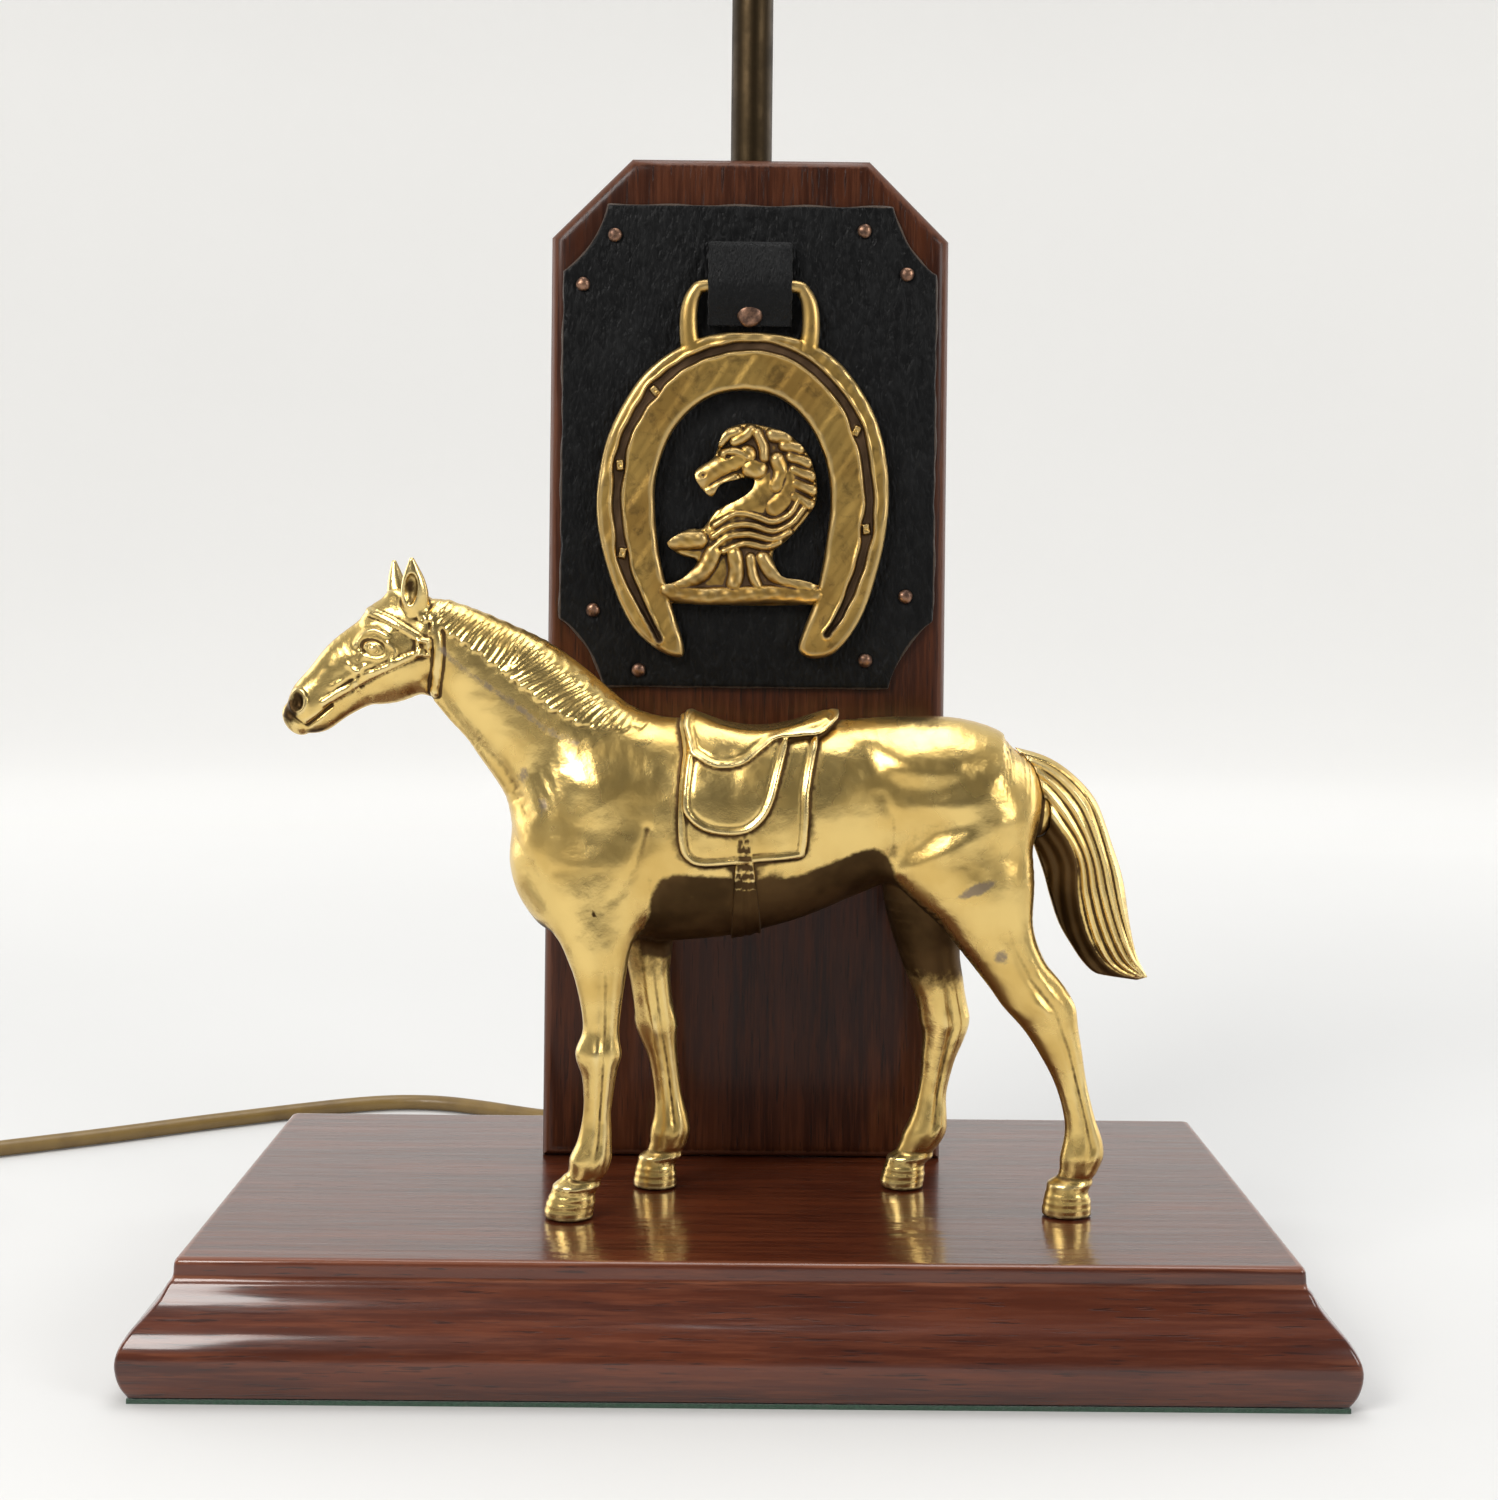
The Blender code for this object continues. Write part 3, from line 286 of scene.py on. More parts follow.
def leather_material(name, grain, sheen):
    """Black bookbinding leather: pebbled grain with slanting wrinkles, grey where rubbed, brown cut edges."""
    made, tree, shader = new_material(name)
    slanted = place(tree, (1.0, 1.0, 0.42), (0.0, radians(38.0), 0.0))
    cells = add(tree, "ShaderNodeTexVoronoi", {"Vector": slanted, "Scale": grain}, feature="SMOOTH_F1")
    wrinkles = noise(tree, slanted, grain * 0.42, 4.0, 0.6, 0.6)
    rub = noise(tree, place(tree), 45.0, 3.0, 0.6)
    base = mix(tree, ramp(tree, wrinkles, 0.45, 0.75), LEATHER_BLACK, LEATHER_GREY)
    base = mix(tree, ramp(tree, rub, 0.45, 0.8, 0.0, 0.5), base, LEATHER_RUBBED)
    uneven = times(tree, minus(tree, wrinkles, 0.5), 0.6)
    edge = ramp(tree, plus(tree, attribute(tree, "edge"), uneven), 0.4, 0.8, 0.0, 0.8)
    pebbles = bump(tree, cells.outputs["Distance"], 0.00045, 0.7)
    dress(tree, shader, Base_Color=mix(tree, edge, base, LEATHER_CUT), Specular_IOR_Level=0.12,
          Sheen_Weight=sheen,
          Sheen_Roughness=0.5, Roughness=ramp(tree, wrinkles, 0.35, 0.7, 0.36, 0.50),
          Normal=bump(tree, wrinkles, 0.0008, 0.8, pebbles))
    return made


def metal_material(name, bright, dark, roughness, cloud_scale, scratch=(1.0, 1.0, 1.0)):
    """Plain worked metal: clouded tarnish and fine marks."""
    made, tree, shader = new_material(name)
    marks = noise(tree, place(tree, scratch), 1400.0, 3.0, 0.6)
    cloud = noise(tree, place(tree), cloud_scale, 4.0, 0.62)
    base = mix(tree, ramp(tree, cloud, 0.36, 0.66), bright, dark)
    dress(tree, shader, Base_Color=mix(tree, ramp(tree, marks, 0.55, 0.75, 0.0, 0.35), base, dark),
          Metallic=1.0,
          Roughness=ramp(tree, cloud, 0.3, 0.7, roughness - 0.06, roughness + 0.10),
          Normal=bump(tree, marks, 0.00006, 0.5))
    return made


def plastic_material(name, base, deep, roughness, texture_scale, height, coat=0.0):
    """Moulded plastic: slight colour drift and a fine surface."""
    made, tree, shader = new_material(name)
    where = place(tree)
    drift = noise(tree, where, 60.0, 3.0, 0.6)
    grain = noise(tree, where, texture_scale, 3.0, 0.6)
    dress(tree, shader, Base_Color=mix(tree, ramp(tree, drift, 0.35, 0.7), base, deep), Coat_Weight=coat,
          Roughness=ramp(tree, grain, 0.3, 0.7, roughness - 0.05, roughness + 0.08),
          Normal=bump(tree, grain, height, 0.5))
    return made


def baize_material():
    made, tree, shader = new_material("baize")
    where = place(tree)
    fibres = noise(tree, where, 1900.0, 5.0, 0.75, 1.2)
    dust = noise(tree, where, 120.0, 3.0, 0.6)
    base = mix(tree, ramp(tree, fibres, 0.35, 0.7), (0.006, 0.035, 0.016), (0.030, 0.110, 0.055))
    dress(tree, shader, Base_Color=mix(tree, ramp(tree, dust, 0.5, 0.8, 0.0, 0.3), base, (0.11, 0.13, 0.10)),
          Roughness=0.95, Sheen_Weight=0.5, Normal=bump(tree, fibres, 0.0006, 0.9))
    return made


def opal_material():
    made, tree, shader = new_material("opal_glass")
    mottle = noise(tree, place(tree), 90.0, 2.0, 0.5)
    dress(tree, shader, Base_Color=mix(tree, mottle, (0.74, 0.725, 0.69), (0.78, 0.765, 0.73)),
          Roughness=ramp(tree, mottle, 0.3, 0.7, 0.10, 0.16), Subsurface_Weight=0.25, Subsurface_Scale=0.004,
          Subsurface_Radius=(1.0, 0.9, 0.8), Coat_Weight=0.5, Coat_Roughness=0.05)
    return made


HORSE_METAL = brass_material("polished_brass", bright=(0.80, 0.575, 0.208), shade=(0.69, 0.465, 0.145),
                             patina=(0.058, 0.033, 0.013), rim=(0.86, 0.68, 0.33), roughness=0.26, waves=1.0)
ANTIQUE_METAL = brass_material("antique_brass", bright=(0.50, 0.315, 0.088), shade=(0.34, 0.200, 0.052),
                               patina=(0.052, 0.032, 0.018), rim=(0.62, 0.45, 0.20), roughness=0.36,
                               waves=0.25,
                               patina_reach=1.1, mottle=0.5)
BASE_TONES = ((0.046, 0.0090, 0.0034), (0.105, 0.0230, 0.0075), (0.150, 0.038, 0.0125), (0.018, 0.005, 0.003))
# The upright board uses the base's mahogany, darkened: painted shade of the upright face.
SHADED_BOARD_TONES = ((0.025, 0.0066, 0.0028), (0.056, 0.0150, 0.0052), (0.095, 0.0270, 0.0090),
               (0.011, 0.004, 0.003))
BASE_WOOD = wood_material("mahogany_along_base", "x", BASE_TONES, worn=(0.22, 0.075, 0.036), lacquer=0.95)
BOARD_WOOD = wood_material("mahogany_upright", "z", SHADED_BOARD_TONES, worn=(0.13, 0.050, 0.026), lacquer=0.14)
PLAQUE_LEATHER = leather_material("plaque_leather", 1050.0, 0.04)
STRAP_LEATHER = leather_material("strap_leather", 1700.0, 0.08)
COPPER = metal_material("copper", (0.30, 0.17, 0.11), (0.10, 0.06, 0.045), 0.40, 500.0)
TUBE_METAL = metal_material("browned_tube", (0.046, 0.031, 0.016), (0.028, 0.019, 0.010), 0.42, 60.0,
                            (1.0, 1.0, 0.05))
HOLDER_METAL = metal_material("holder_brass", (0.80, 0.60, 0.27), (0.55, 0.38, 0.15), 0.24, 80.0,
                              (0.1, 0.1, 1.0))
STEEL = metal_material("zinc_plate", (0.62, 0.62, 0.60), (0.36, 0.36, 0.36), 0.36, 200.0)
ALUMINIUM = metal_material("aluminium", (0.78, 0.78, 0.79), (0.60, 0.60, 0.61), 0.36, 120.0, (0.1, 0.1, 1.0))
PHENOLIC = plastic_material("phenolic", (0.020, 0.012, 0.009), (0.034, 0.019, 0.013), 0.26, 500.0, 0.00005,
                            0.3)
FLEX_SHEATH = plastic_material("gold_flex", (0.205, 0.128, 0.034), (0.150, 0.090, 0.024), 0.42, 300.0,
                               0.00012, 0.05)
BLACK_PLASTIC = plastic_material("black_plastic", (0.014, 0.014, 0.015), (0.022, 0.022, 0.023), 0.42, 1500.0,
                                 0.0001)
CORE_BROWN = plastic_material("core_brown", (0.14, 0.05, 0.025), (0.10, 0.04, 0.02), 0.42, 800.0, 0.00005)
CORE_BLUE = plastic_material("core_blue", (0.02, 0.06, 0.26), (0.02, 0.045, 0.20), 0.42, 800.0, 0.00005)
BAIZE = baize_material()
OPAL_GLASS = opal_material()


# ---------------------------------------------------------------- meshes

def mesh_piece(name, points, faces, surface, body="lamp", slot=None, replaces=(), smooth_angle=None):
    """A mesh from millimetre points, smooth shaded, riding on a body."""
    mesh = bpy.data.meshes.new(name)
    mesh.from_pydata([tuple(p) for p in np.asarray(points, float) * MM], [],
                     [tuple(map(int, f)) for f in faces])
    mesh.validate()
    mesh.materials.append(surface)
    made = bpy.data.objects.new(name, mesh)
    bpy.context.scene.collection.objects.link(made)
    face_out(mesh)
    mesh.shade_smooth()
    if smooth_angle is not None:
        mesh.set_sharp_from_angle(angle=radians(smooth_angle))
    settle(made, body, replaces)
    return made


def face_out(mesh):
    work = bmesh.new()
    work.from_mesh(mesh)
    bmesh.ops.recalc_face_normals(work, faces=work.faces)
    work.to_mesh(mesh)
    work.free()


def settle(made, body, replaces):
    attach(made, body)
    if replaces:
        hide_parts(*replaces)


def ring_faces(ring_count, side_count, close_ring=True, close_loop=False, caps=True):
    """Faces between rings of equal point count."""
    faces = []
    last = ring_count if close_loop else ring_count - 1
    for i in range(last):
        low, high = i * side_count, (i + 1) % ring_count * side_count
        for k in range(side_count if close_ring else side_count - 1):
            after = (k + 1) % side_count
            faces.append((low + k, low + after, high + after, high + k))
    if caps and not close_loop:
        faces.append(tuple(range(side_count)))
        faces.append(tuple(range((ring_count - 1) * side_count, ring_count * side_count)))
    return faces


def turned(name, centre, profile, surface, axis="z", sides=64, hollow=False, smooth_angle=40, ripple=None,
           **more):
    """A turned piece from (radius, distance along the axis); ripple(angle, along) adds to the radius."""
    rings = []
    for radius, along in profile:
        for k in range(sides):
            a = 2 * pi * k / sides
            r = radius + (ripple(a, along) if ripple else 0.0)
            u, v = r * cos(a), r * sin(a)
            offset = {"x": (along, u, v), "y": (u, along, v), "z": (u, v, along)}[axis]
            rings.append(tuple(c + o for c, o in zip(centre, offset)))
    return mesh_piece(name, rings, ring_faces(len(profile), sides, close_loop=hollow), surface,
                      smooth_angle=smooth_angle, **more)


def rounded(profile, radius=0.25, steps=3):
    """A closed profile with its corners rounded by a small radius."""
    count = len(profile)
    made = []
    for i in range(count):
        before, here, after = (np.array(profile[(i + k) % count], float) for k in (-1, 0, 1))
        back, on = before - here, after - here
        reach = min(radius, 0.45 * np.linalg.norm(back), 0.45 * np.linalg.norm(on))
        start, end = here + back / np.linalg.norm(back) * reach, here + on / np.linalg.norm(on) * reach
        for s in range(steps + 1):
            t = s / steps
            made.append(tuple((1 - t) ** 2 * start + 2 * t * (1 - t) * here + t ** 2 * end))
    return made


def give_attribute(made, name, values):
    layer = made.data.attributes.new(name, "FLOAT", "POINT")
    layer.data.foreach_set("value", np.asarray(values, np.float32))


# ---------------------------------------------------------------- solid shapes from distance fields

def smoothstep(value, low, high):
    t = np.clip((value - low) / (high - low), 0.0, 1.0)
    return t * t * (3 - 2 * t)


def polyline_distance(x, z, points, closed=False):
    """Distance of grid points to a polyline in the XZ plane, and how far along it the nearest point is."""
    pts = [np.asarray(p, float) for p in points]
    if closed:
        pts.append(pts[0])
    best = np.full(np.broadcast(x, z).shape, 1e9, np.float32)
    along = np.zeros_like(best)
    walked = 0.0
    for a, b in zip(pts, pts[1:]):
        d = b - a
        size = float(np.hypot(*d))
        if size < 1e-9:
            continue
        t = np.clip(((x - a[0]) * d[0] + (z - a[1]) * d[1]) / size ** 2, 0.0, 1.0)
        gap = np.hypot(x - a[0] - t * d[0], z - a[1] - t * d[1])
        nearer = gap < best
        best = np.where(nearer, gap, best)
        along = np.where(nearer, walked + t * size, along)
        walked += size
    return best, along


def outline_distance(x, z, points):
    """Signed distance to a closed outline in the XZ plane: negative inside."""
    gap, _ = polyline_distance(x, z, points, closed=True)
    inside = np.zeros(gap.shape, bool)
    for (ax, az), (bx, bz) in zip(points, list(points[1:]) + [points[0]]):
        if az == bz:
            continue
        crosses = (az > z) != (bz > z)
        inside ^= crosses & (x < (bx - ax) * (z - az) / (bz - az) + ax)
    return np.where(inside, -gap, gap)


def lump(x, z, cx, cz, rx, rz, turn=0.0):
    """A soft round rise, 1 at its middle."""
    c, s = cos(radians(turn)), sin(radians(turn))
    u, v = (x - cx) * c + (z - cz) * s, -(x - cx) * s + (z - cz) * c
    return np.exp(-((u / rx) ** 2 + (v / rz) ** 2))


def groove(x, z, points, width):
    """A soft line along a smooth curve, 1 at its middle."""
    gap, _ = polyline_distance(x, z, smooth_path(points, 5))
    return np.exp(-(gap / width) ** 2)


CORNERS = [(a, b, c) for a in (0, 1) for b in (0, 1) for c in (0, 1)]     # of one grid cell


class Volume:
    """A field of signed distance, in millimetres, on a regular grid: negative inside."""

    def __init__(self, low, high, step):
        self.step = step
        self.low = np.array(low, float)
        axes = [np.arange(a, b + step, step, dtype=np.float32) for a, b in zip(low, high)]
        self.x, self.y, self.z = axes
        self.field = np.full([len(a) for a in axes], 20.0, np.float32)

    def part(self, low, high):
        """Index ranges of the grid inside a box, and its coordinates shaped to broadcast."""
        cut = []
        for k, axis in enumerate((self.x, self.y, self.z)):
            first = int(np.clip((low[k] - self.low[k]) / self.step, 0, len(axis) - 2))
            last = int(np.clip((high[k] - self.low[k]) / self.step + 2, first + 2, len(axis)))
            cut.append(slice(first, last))
        i, j, k = cut
        return (i, j, k), self.x[i][:, None, None], self.y[j][None, :, None], self.z[k][None, None, :]

    def join(self, where, distance, blend):
        """Smooth union of a distance into part of the field."""
        old = self.field[where]
        if blend <= 0:
            self.field[where] = np.minimum(old, distance)
            return
        h = np.clip(0.5 + 0.5 * (old - distance) / blend, 0.0, 1.0)
        self.field[where] = old + (distance - old) * h - blend * h * (1 - h)

    def carve(self, where, distance, blend):
        """Smooth cut of a distance out of part of the field."""
        old = self.field[where]
        h = np.clip(0.5 - 0.5 * (old + distance) / blend, 0.0, 1.0)
        self.field[where] = old + (-distance - old) * h + blend * h * (1 - h)

    def limb(self, stations, blend=3.0, relief=None, cap=0.6):
        """A body of elliptical section along a path in the XZ plane.

        A station is (x, y, z, half-thickness in the plane, half-thickness along Y). relief(x, z, side) is
        added outwards, with side -1 or 1 for the half nearer or farther than the station's y.
        """
        dense = np.array(smooth_path(stations, 6), float)
        reach = dense[:, 3:].max() + 3 * blend + 3
        low = dense[:, :3].min(axis=0) - reach
        high = dense[:, :3].max(axis=0) + reach
        where, x, y, z = self.part(low, high)
        flat_x, flat_z = x[:, 0, :], z[:, 0, :]
        shape = np.broadcast(flat_x, flat_z).shape
        best = np.full(shape, 1e9, np.float32)
        # Centre y, half-thickness in the plane and along Y, offset in the plane, distance past the end.
        values = np.zeros((5,) + shape, np.float32)
        for n, (a, b) in enumerate(zip(dense, dense[1:])):
            dx, dz = b[0] - a[0], b[2] - a[2]
            size = sqrt(dx * dx + dz * dz)
            raw = ((flat_x - a[0]) * dx + (flat_z - a[2]) * dz) / size ** 2
            t = np.clip(raw, 0.0, 1.0)
            gap = np.hypot(flat_x - a[0] - t * dx, flat_z - a[2] - t * dz)
            nearer = gap < best
            best = np.where(nearer, gap, best)
            over = np.zeros(shape, np.float32)
            if n == 0:
                over = np.maximum(-raw, 0.0) * size
            if n == len(dense) - 2:
                over = np.maximum(over, np.maximum(raw - 1.0, 0.0) * size)
            offset = ((flat_x - a[0]) * -dz + (flat_z - a[2]) * dx) / size
            mixed = [a[i] + (b[i] - a[i]) * t for i in (1, 3, 4)] + [offset, over]
            for k, value in enumerate(mixed):
                values[k] = np.where(nearer, value, values[k])
        middle, half_in, half_out, offset, over = (v[:, None, :] for v in values)
        side = y - middle
        end = cap * np.minimum(half_in, half_out)
        k0 = np.sqrt((offset / half_in) ** 2 + (side / half_out) ** 2 + (over / end) ** 2)
        k1 = np.sqrt((offset / half_in ** 2) ** 2 + (side / half_out ** 2) ** 2
                     + (over / end ** 2) ** 2) + 1e-6
        distance = k0 * (k0 - 1) / k1
        if relief is not None:
            near, far = relief(flat_x, flat_z, -1)[:, None, :], relief(flat_x, flat_z, 1)[:, None, :]
            distance = distance - near + (near - far) * smoothstep(side, -1.5, 1.5)
        self.join(where, distance, blend)
        return where, distance

    def ball(self, centre, radii, blend=1.0, cut=False, turn=0.0):
        """An ellipsoid, joined on or cut out, turned in the XZ plane."""
        reach = max(radii) + 3 * blend + 1
        where, x, y, z = self.part([c - reach for c in centre], [c + reach for c in centre])
        c, s = cos(radians(turn)), sin(radians(turn))
        dx, v, dz = x - centre[0], y - centre[1], z - centre[2]
        u, w = dx * c + dz * s, dz * c - dx * s
        k0 = np.sqrt((u / radii[0]) ** 2 + (v / radii[1]) ** 2 + (w / radii[2]) ** 2)
        k1 = np.sqrt((u / radii[0] ** 2) ** 2 + (v / radii[1] ** 2) ** 2 + (w / radii[2] ** 2) ** 2) + 1e-6
        distance = k0 * (k0 - 1) / k1
        if cut:
            self.carve(where, distance, blend)
        else:
            self.join(where, distance, blend)

    def sample(self, grid, points):
        """Values of a grid at points, by trilinear interpolation."""
        at = (points - self.low) / self.step
        at = np.clip(at, 0, np.array(grid.shape) - 1.001)
        cell = at.astype(int)
        f = (at - cell).astype(np.float32)
        i, j, k = cell.T
        total = np.zeros(len(points), np.float32)
        for di, dj, dk in CORNERS:
            share_i, share_j, share_k = (f[:, axis] if d else 1 - f[:, axis] for axis,
                                         d in enumerate((di, dj, dk)))
            total += grid[i + di, j + dj, k + dk] * share_i * share_j * share_k
        return total

    def slopes(self, points):
        """Unit gradient of the field at points."""
        made = np.zeros((len(points), 3), np.float32)
        for axis in range(3):
            shift = np.zeros(3)
            shift[axis] = 0.75 * self.step
            made[:, axis] = self.sample(self.field, points + shift) - self.sample(self.field, points - shift)
        return made / (np.linalg.norm(made, axis=1, keepdims=True) + 1e-9)

    def skin(self):
        """Points and quads of the surface: one point in each cell that the surface crosses."""
        inside = self.field < 0
        count = np.zeros([n - 1 for n in inside.shape], np.uint8)
        nx, ny, nz = count.shape
        for di, dj, dk in CORNERS:
            count += inside[di:nx + di, dj:ny + dj, dk:nz + dk]
        active = np.flatnonzero((count > 0) & (count < 8))
        cells = np.stack(np.unravel_index(active, count.shape), axis=1)
        value = {c: self.field[tuple((cells + np.array(c)).T)] for c in CORNERS}
        total = np.zeros((len(cells), 3))
        hits = np.zeros(len(cells))
        for axis in range(3):
            for start in (c for c in CORNERS if c[axis] == 0):
                end = tuple(v + (k == axis) for k, v in enumerate(start))
                a, b = value[start], value[end]
                crosses = (a < 0) != (b < 0)
                t = np.where(crosses, a / np.where(crosses, a - b, 1.0), 0.0)
                point = np.tile(np.array(start, float), (len(cells), 1))
                point[:, axis] += t
                total += point * crosses[:, None]
                hits += crosses
        points = (cells + total / hits[:, None]) * self.step + self.low
        quads = []
        strides = np.array([count.shape[1] * count.shape[2], count.shape[2], 1])
        for axis in range(3):
            shape = list(inside.shape)
            first = [slice(0, n) for n in shape]
            second = [slice(0, n) for n in shape]
            first[axis], second[axis] = slice(0, shape[axis] - 1), slice(1, shape[axis])
            a, b = inside[tuple(first)], inside[tuple(second)]
            at = np.stack(np.nonzero(a != b), axis=1)
            others = [k for k in range(3) if k != axis]
            good = (at[:, others[0]] > 0) & (at[:, others[1]] > 0)
            at = at[good]
            start_inside = a[tuple(at.T)]
            flat = at @ strides
            u, v = strides[others[0]], strides[others[1]]
            ring = np.stack([flat - u - v, flat - v, flat, flat - u], axis=1)
            number = np.searchsorted(active, ring)
            flip = start_inside if axis != 1 else ~start_inside
            number[~flip] = number[~flip][:, ::-1]
            quads.append(number)
        return points, np.concatenate(quads)

    def hollows(self, spread):
        """The field smoothed over a distance: on the surface it is low where the surface is hollow."""
        made = self.field.copy()
        reach = max(1, round(spread / self.step))
        for axis in range(3):
            width = 2 * reach + 1
            padded = np.concatenate([np.repeat(np.take(made, [0], axis), reach + 1, axis), made,
                                     np.repeat(np.take(made, [-1], axis), reach, axis)], axis)
            running = np.cumsum(padded, axis=axis, dtype=np.float64)
            n = made.shape[axis]
            top = np.take(running, range(width, n + width), axis)
            bottom = np.take(running, range(0, n), axis)
            made = ((top - bottom) / width).astype(np.float32)
        return made


def volume_piece(name, volume, surface, body, slot, replaces, most_faces=190000, paint=None):
    """The skin of a volume as a piece within a triangle budget, with normals and hollows from the field."""
    points, quads = volume.skin()
    made = mesh_piece(name, points, quads, surface, body=body, slot=slot, replaces=replaces)
    triangles = 2 * len(quads)
    if triangles > most_faces:
        thin = made.modifiers.new("thin", "DECIMATE")
        thin.ratio = most_faces / triangles
        graph = bpy.context.evaluated_depsgraph_get()
        lean = bpy.data.meshes.new_from_object(made.evaluated_get(graph))
        made.modifiers.remove(thin)
        made.data = lean
        lean.name = name
    mesh = made.data
    at = np.zeros(len(mesh.vertices) * 3, np.float32)
    mesh.vertices.foreach_get("co", at)
    at = at.reshape(-1, 3) / MM
    for _ in range(2):
        slope = volume.slopes(at)
        off = volume.sample(volume.field, at)
        at = at - slope * np.clip(off, -0.4 * volume.step, 0.4 * volume.step)[:, None]
    mesh.vertices.foreach_set("co", (at * MM).ravel())
    slope = volume.slopes(at)
    mesh.shade_smooth()
    mesh.update()
    cavity = -(volume.sample(volume.hollows(1.0), at)) * 2.2 - volume.sample(volume.hollows(2.4), at) * 0.45
    give_attribute(made, "cavity", np.clip(cavity, -1, 1))
    for layer, values in (paint(at, slope) if paint else {}).items():
        give_attribute(made, layer, values)
    mesh.normals_split_custom_set_from_vertices([tuple(map(float, n)) for n in slope])
    return made


# ---------------------------------------------------------------- stage and light

FLOOR_PALE, FLOOR_PALER, FRONT_WALL = (0.58, 0.577, 0.565), (0.61, 0.607, 0.595), (0.15, 0.147, 0.142)
FLOOR_RADIUS, WALL_RADIUS, WALL_HEIGHT = 1700, 2600, 1700
BACKDROP_GLOW = 0.46
WORLD_STRENGTH, WORLD_BEHIND, WORLD_IN_FRONT = 0.8, (0.95, 0.97, 1.0), (0.10, 0.098, 0.095)
WHITE, WARM = (1.0, 1.0, 1.0), (1.0, 0.985, 0.96)
# Name, place, target and size in metres, power in watts, colour.
LIGHTS = [("key", (-0.75, -0.95, 1.0), (-0.02, 0.0, 0.15), (0.6, 0.6), 15.0, WARM),
          ("fill", (1.05, -0.85, 0.7), (0.0, 0.0, 0.15), (0.5, 0.7), 7.0, WHITE),
          ("top", (0.1, 0.1, 1.5), (0.0, 0.05, 0.1), (1.1, 0.8), 11.0, WHITE),
          ("wall_left", (-1.3, 0.5, 0.5), (0.0, 0.1, 0.2), (0.9, 0.9), 6.0, WHITE),
          ("wall_right", (1.3, 0.6, 0.5), (0.0, 0.1, 0.2), (0.9, 0.9), 5.0, WHITE)]


def make_stage():
    """A pale floor that rises into a far, round backdrop, bright behind the lamp and dark in front of it."""
    cove = WALL_RADIUS - FLOOR_RADIUS
    profile = [(1, 0.0), (800, 0.0), (FLOOR_RADIUS, 0.0)]
    profile += [(FLOOR_RADIUS + cove * sin(radians(a)), cove * (1 - cos(radians(a))))
                for a in range(10, 91, 10)]
    profile.append((WALL_RADIUS, WALL_HEIGHT))
    made, tree, shader = new_material("backdrop")
    where = place(tree)
    parts = add(tree, "ShaderNodeSeparateXYZ", {"Vector": where}).outputs
    pale = mix(tree, noise(tree, where, 3.0, 2.0), FLOOR_PALE, FLOOR_PALER)
    high = ramp(tree, parts["Z"], 0.02, 0.55)
    in_front = ramp(tree, parts["Y"], 0.2, -1.6)
    behind = ramp(tree, parts["Y"], 0.15, 1.5)
    glow = mix(tree, behind, (0.12, 0.12, 0.12), (1.0, 0.985, 0.955))
    dress(tree, shader, Base_Color=mix(tree, times(tree, high, in_front), pale, FRONT_WALL),
          Emission_Color=mix(tree, in_front, glow, (0.0, 0.0, 0.0)), Emission_Strength=BACKDROP_GLOW,
          Roughness=0.8)
    sides = 96
    angles = [2 * pi * k / sides for k in range(sides)]
    points = [(r * cos(a), r * sin(a), z) for r, z in profile for a in angles]
    faces = ring_faces(len(profile), sides, caps=False) + [tuple(range(sides))]
    mesh = bpy.data.meshes.new("backdrop")
    mesh.from_pydata([tuple(c * MM for c in p) for p in points], [], faces)
    mesh.materials.append(made)
    mesh.shade_smooth()
    floor = bpy.data.objects.new("backdrop", mesh)
    bpy.context.scene.collection.objects.link(floor)


def area_light(name, place_at, target, size, power, colour):
    data = bpy.data.lights.new(name, "AREA")
    data.shape = "RECTANGLE"
    data.size, data.size_y = size
    data.energy = power
    data.color = colour
    light = bpy.data.objects.new(name, data)
    bpy.context.scene.collection.objects.link(light)
    light.location = place_at
    light.rotation_euler = (Vector(target) - Vector(place_at)).to_track_quat("-Z", "Y").to_euler()
    light.visible_camera = False


def make_lights():
    """A world that is bright behind and dark in front, and soft area lights."""
    world = bpy.data.worlds.new("studio")
    bpy.context.scene.world = world
    world.use_nodes = True
    tree = world.node_tree
    direction = add(tree, "ShaderNodeTexCoord").outputs["Generated"]
    parts = add(tree, "ShaderNodeSeparateXYZ", {"Vector": direction}).outputs
    in_front = ramp(tree, parts["Y"], 0.35, -0.45)
    colour = mix(tree, in_front, WORLD_BEHIND, WORLD_IN_FRONT)
    dress(tree, tree.nodes["Background"], Color=colour, Strength=WORLD_STRENGTH)
    for light in LIGHTS:
        area_light(*light)


# ---------------------------------------------------------------- the lead, its tie and its plug

LEAD_ROUTE = [
    (0.0, 109.0, 10.9), (-0.3, 116.0, 10.0), (-1.0, 124.0, 8.6), (-7.0, 142.5, 4.8), (-22.0, 161.5, 3.2),
    (-46.0, 177.0, 3.0), (-77.0, 189.3, 3.0), (-99.5, 200.8, 3.0), (-116.0, 207.3, 3.0),
    (-131.5, 208.6, 3.0), (-147.0, 205.0, 3.0), (-168.0, 194.9, 3.0), (-201.5, 176.0, 3.0),
    (-233.0, 156.6, 3.0), (-263.5, 139.4, 3.0), (-304.5, 117.2, 3.0),
]
COIL_CENTRE = (-305.0, 72.0)
COIL_ENTRY = 119.5                 # degrees round the coil at which the lead joins it
COIL_TURNS = 6.168
COIL_RADII = [38.6, 33.0, 27.4, 27.4, 33.0, 38.6, 44.2]
COIL_LOW, COIL_HIGH = 3.0, 8.7
TAIL_ROUTE = [(-348.9, 57.0, 8.7), (-346.5, 50.0, 8.8), (-342.0, 42.0, 9.0), (-338.6, 37.5, 9.0),
              (-338.0, 34.9, 9.0)]
CROSSOVER = 0.2                    # share of a turn in which the lead moves to the next ring


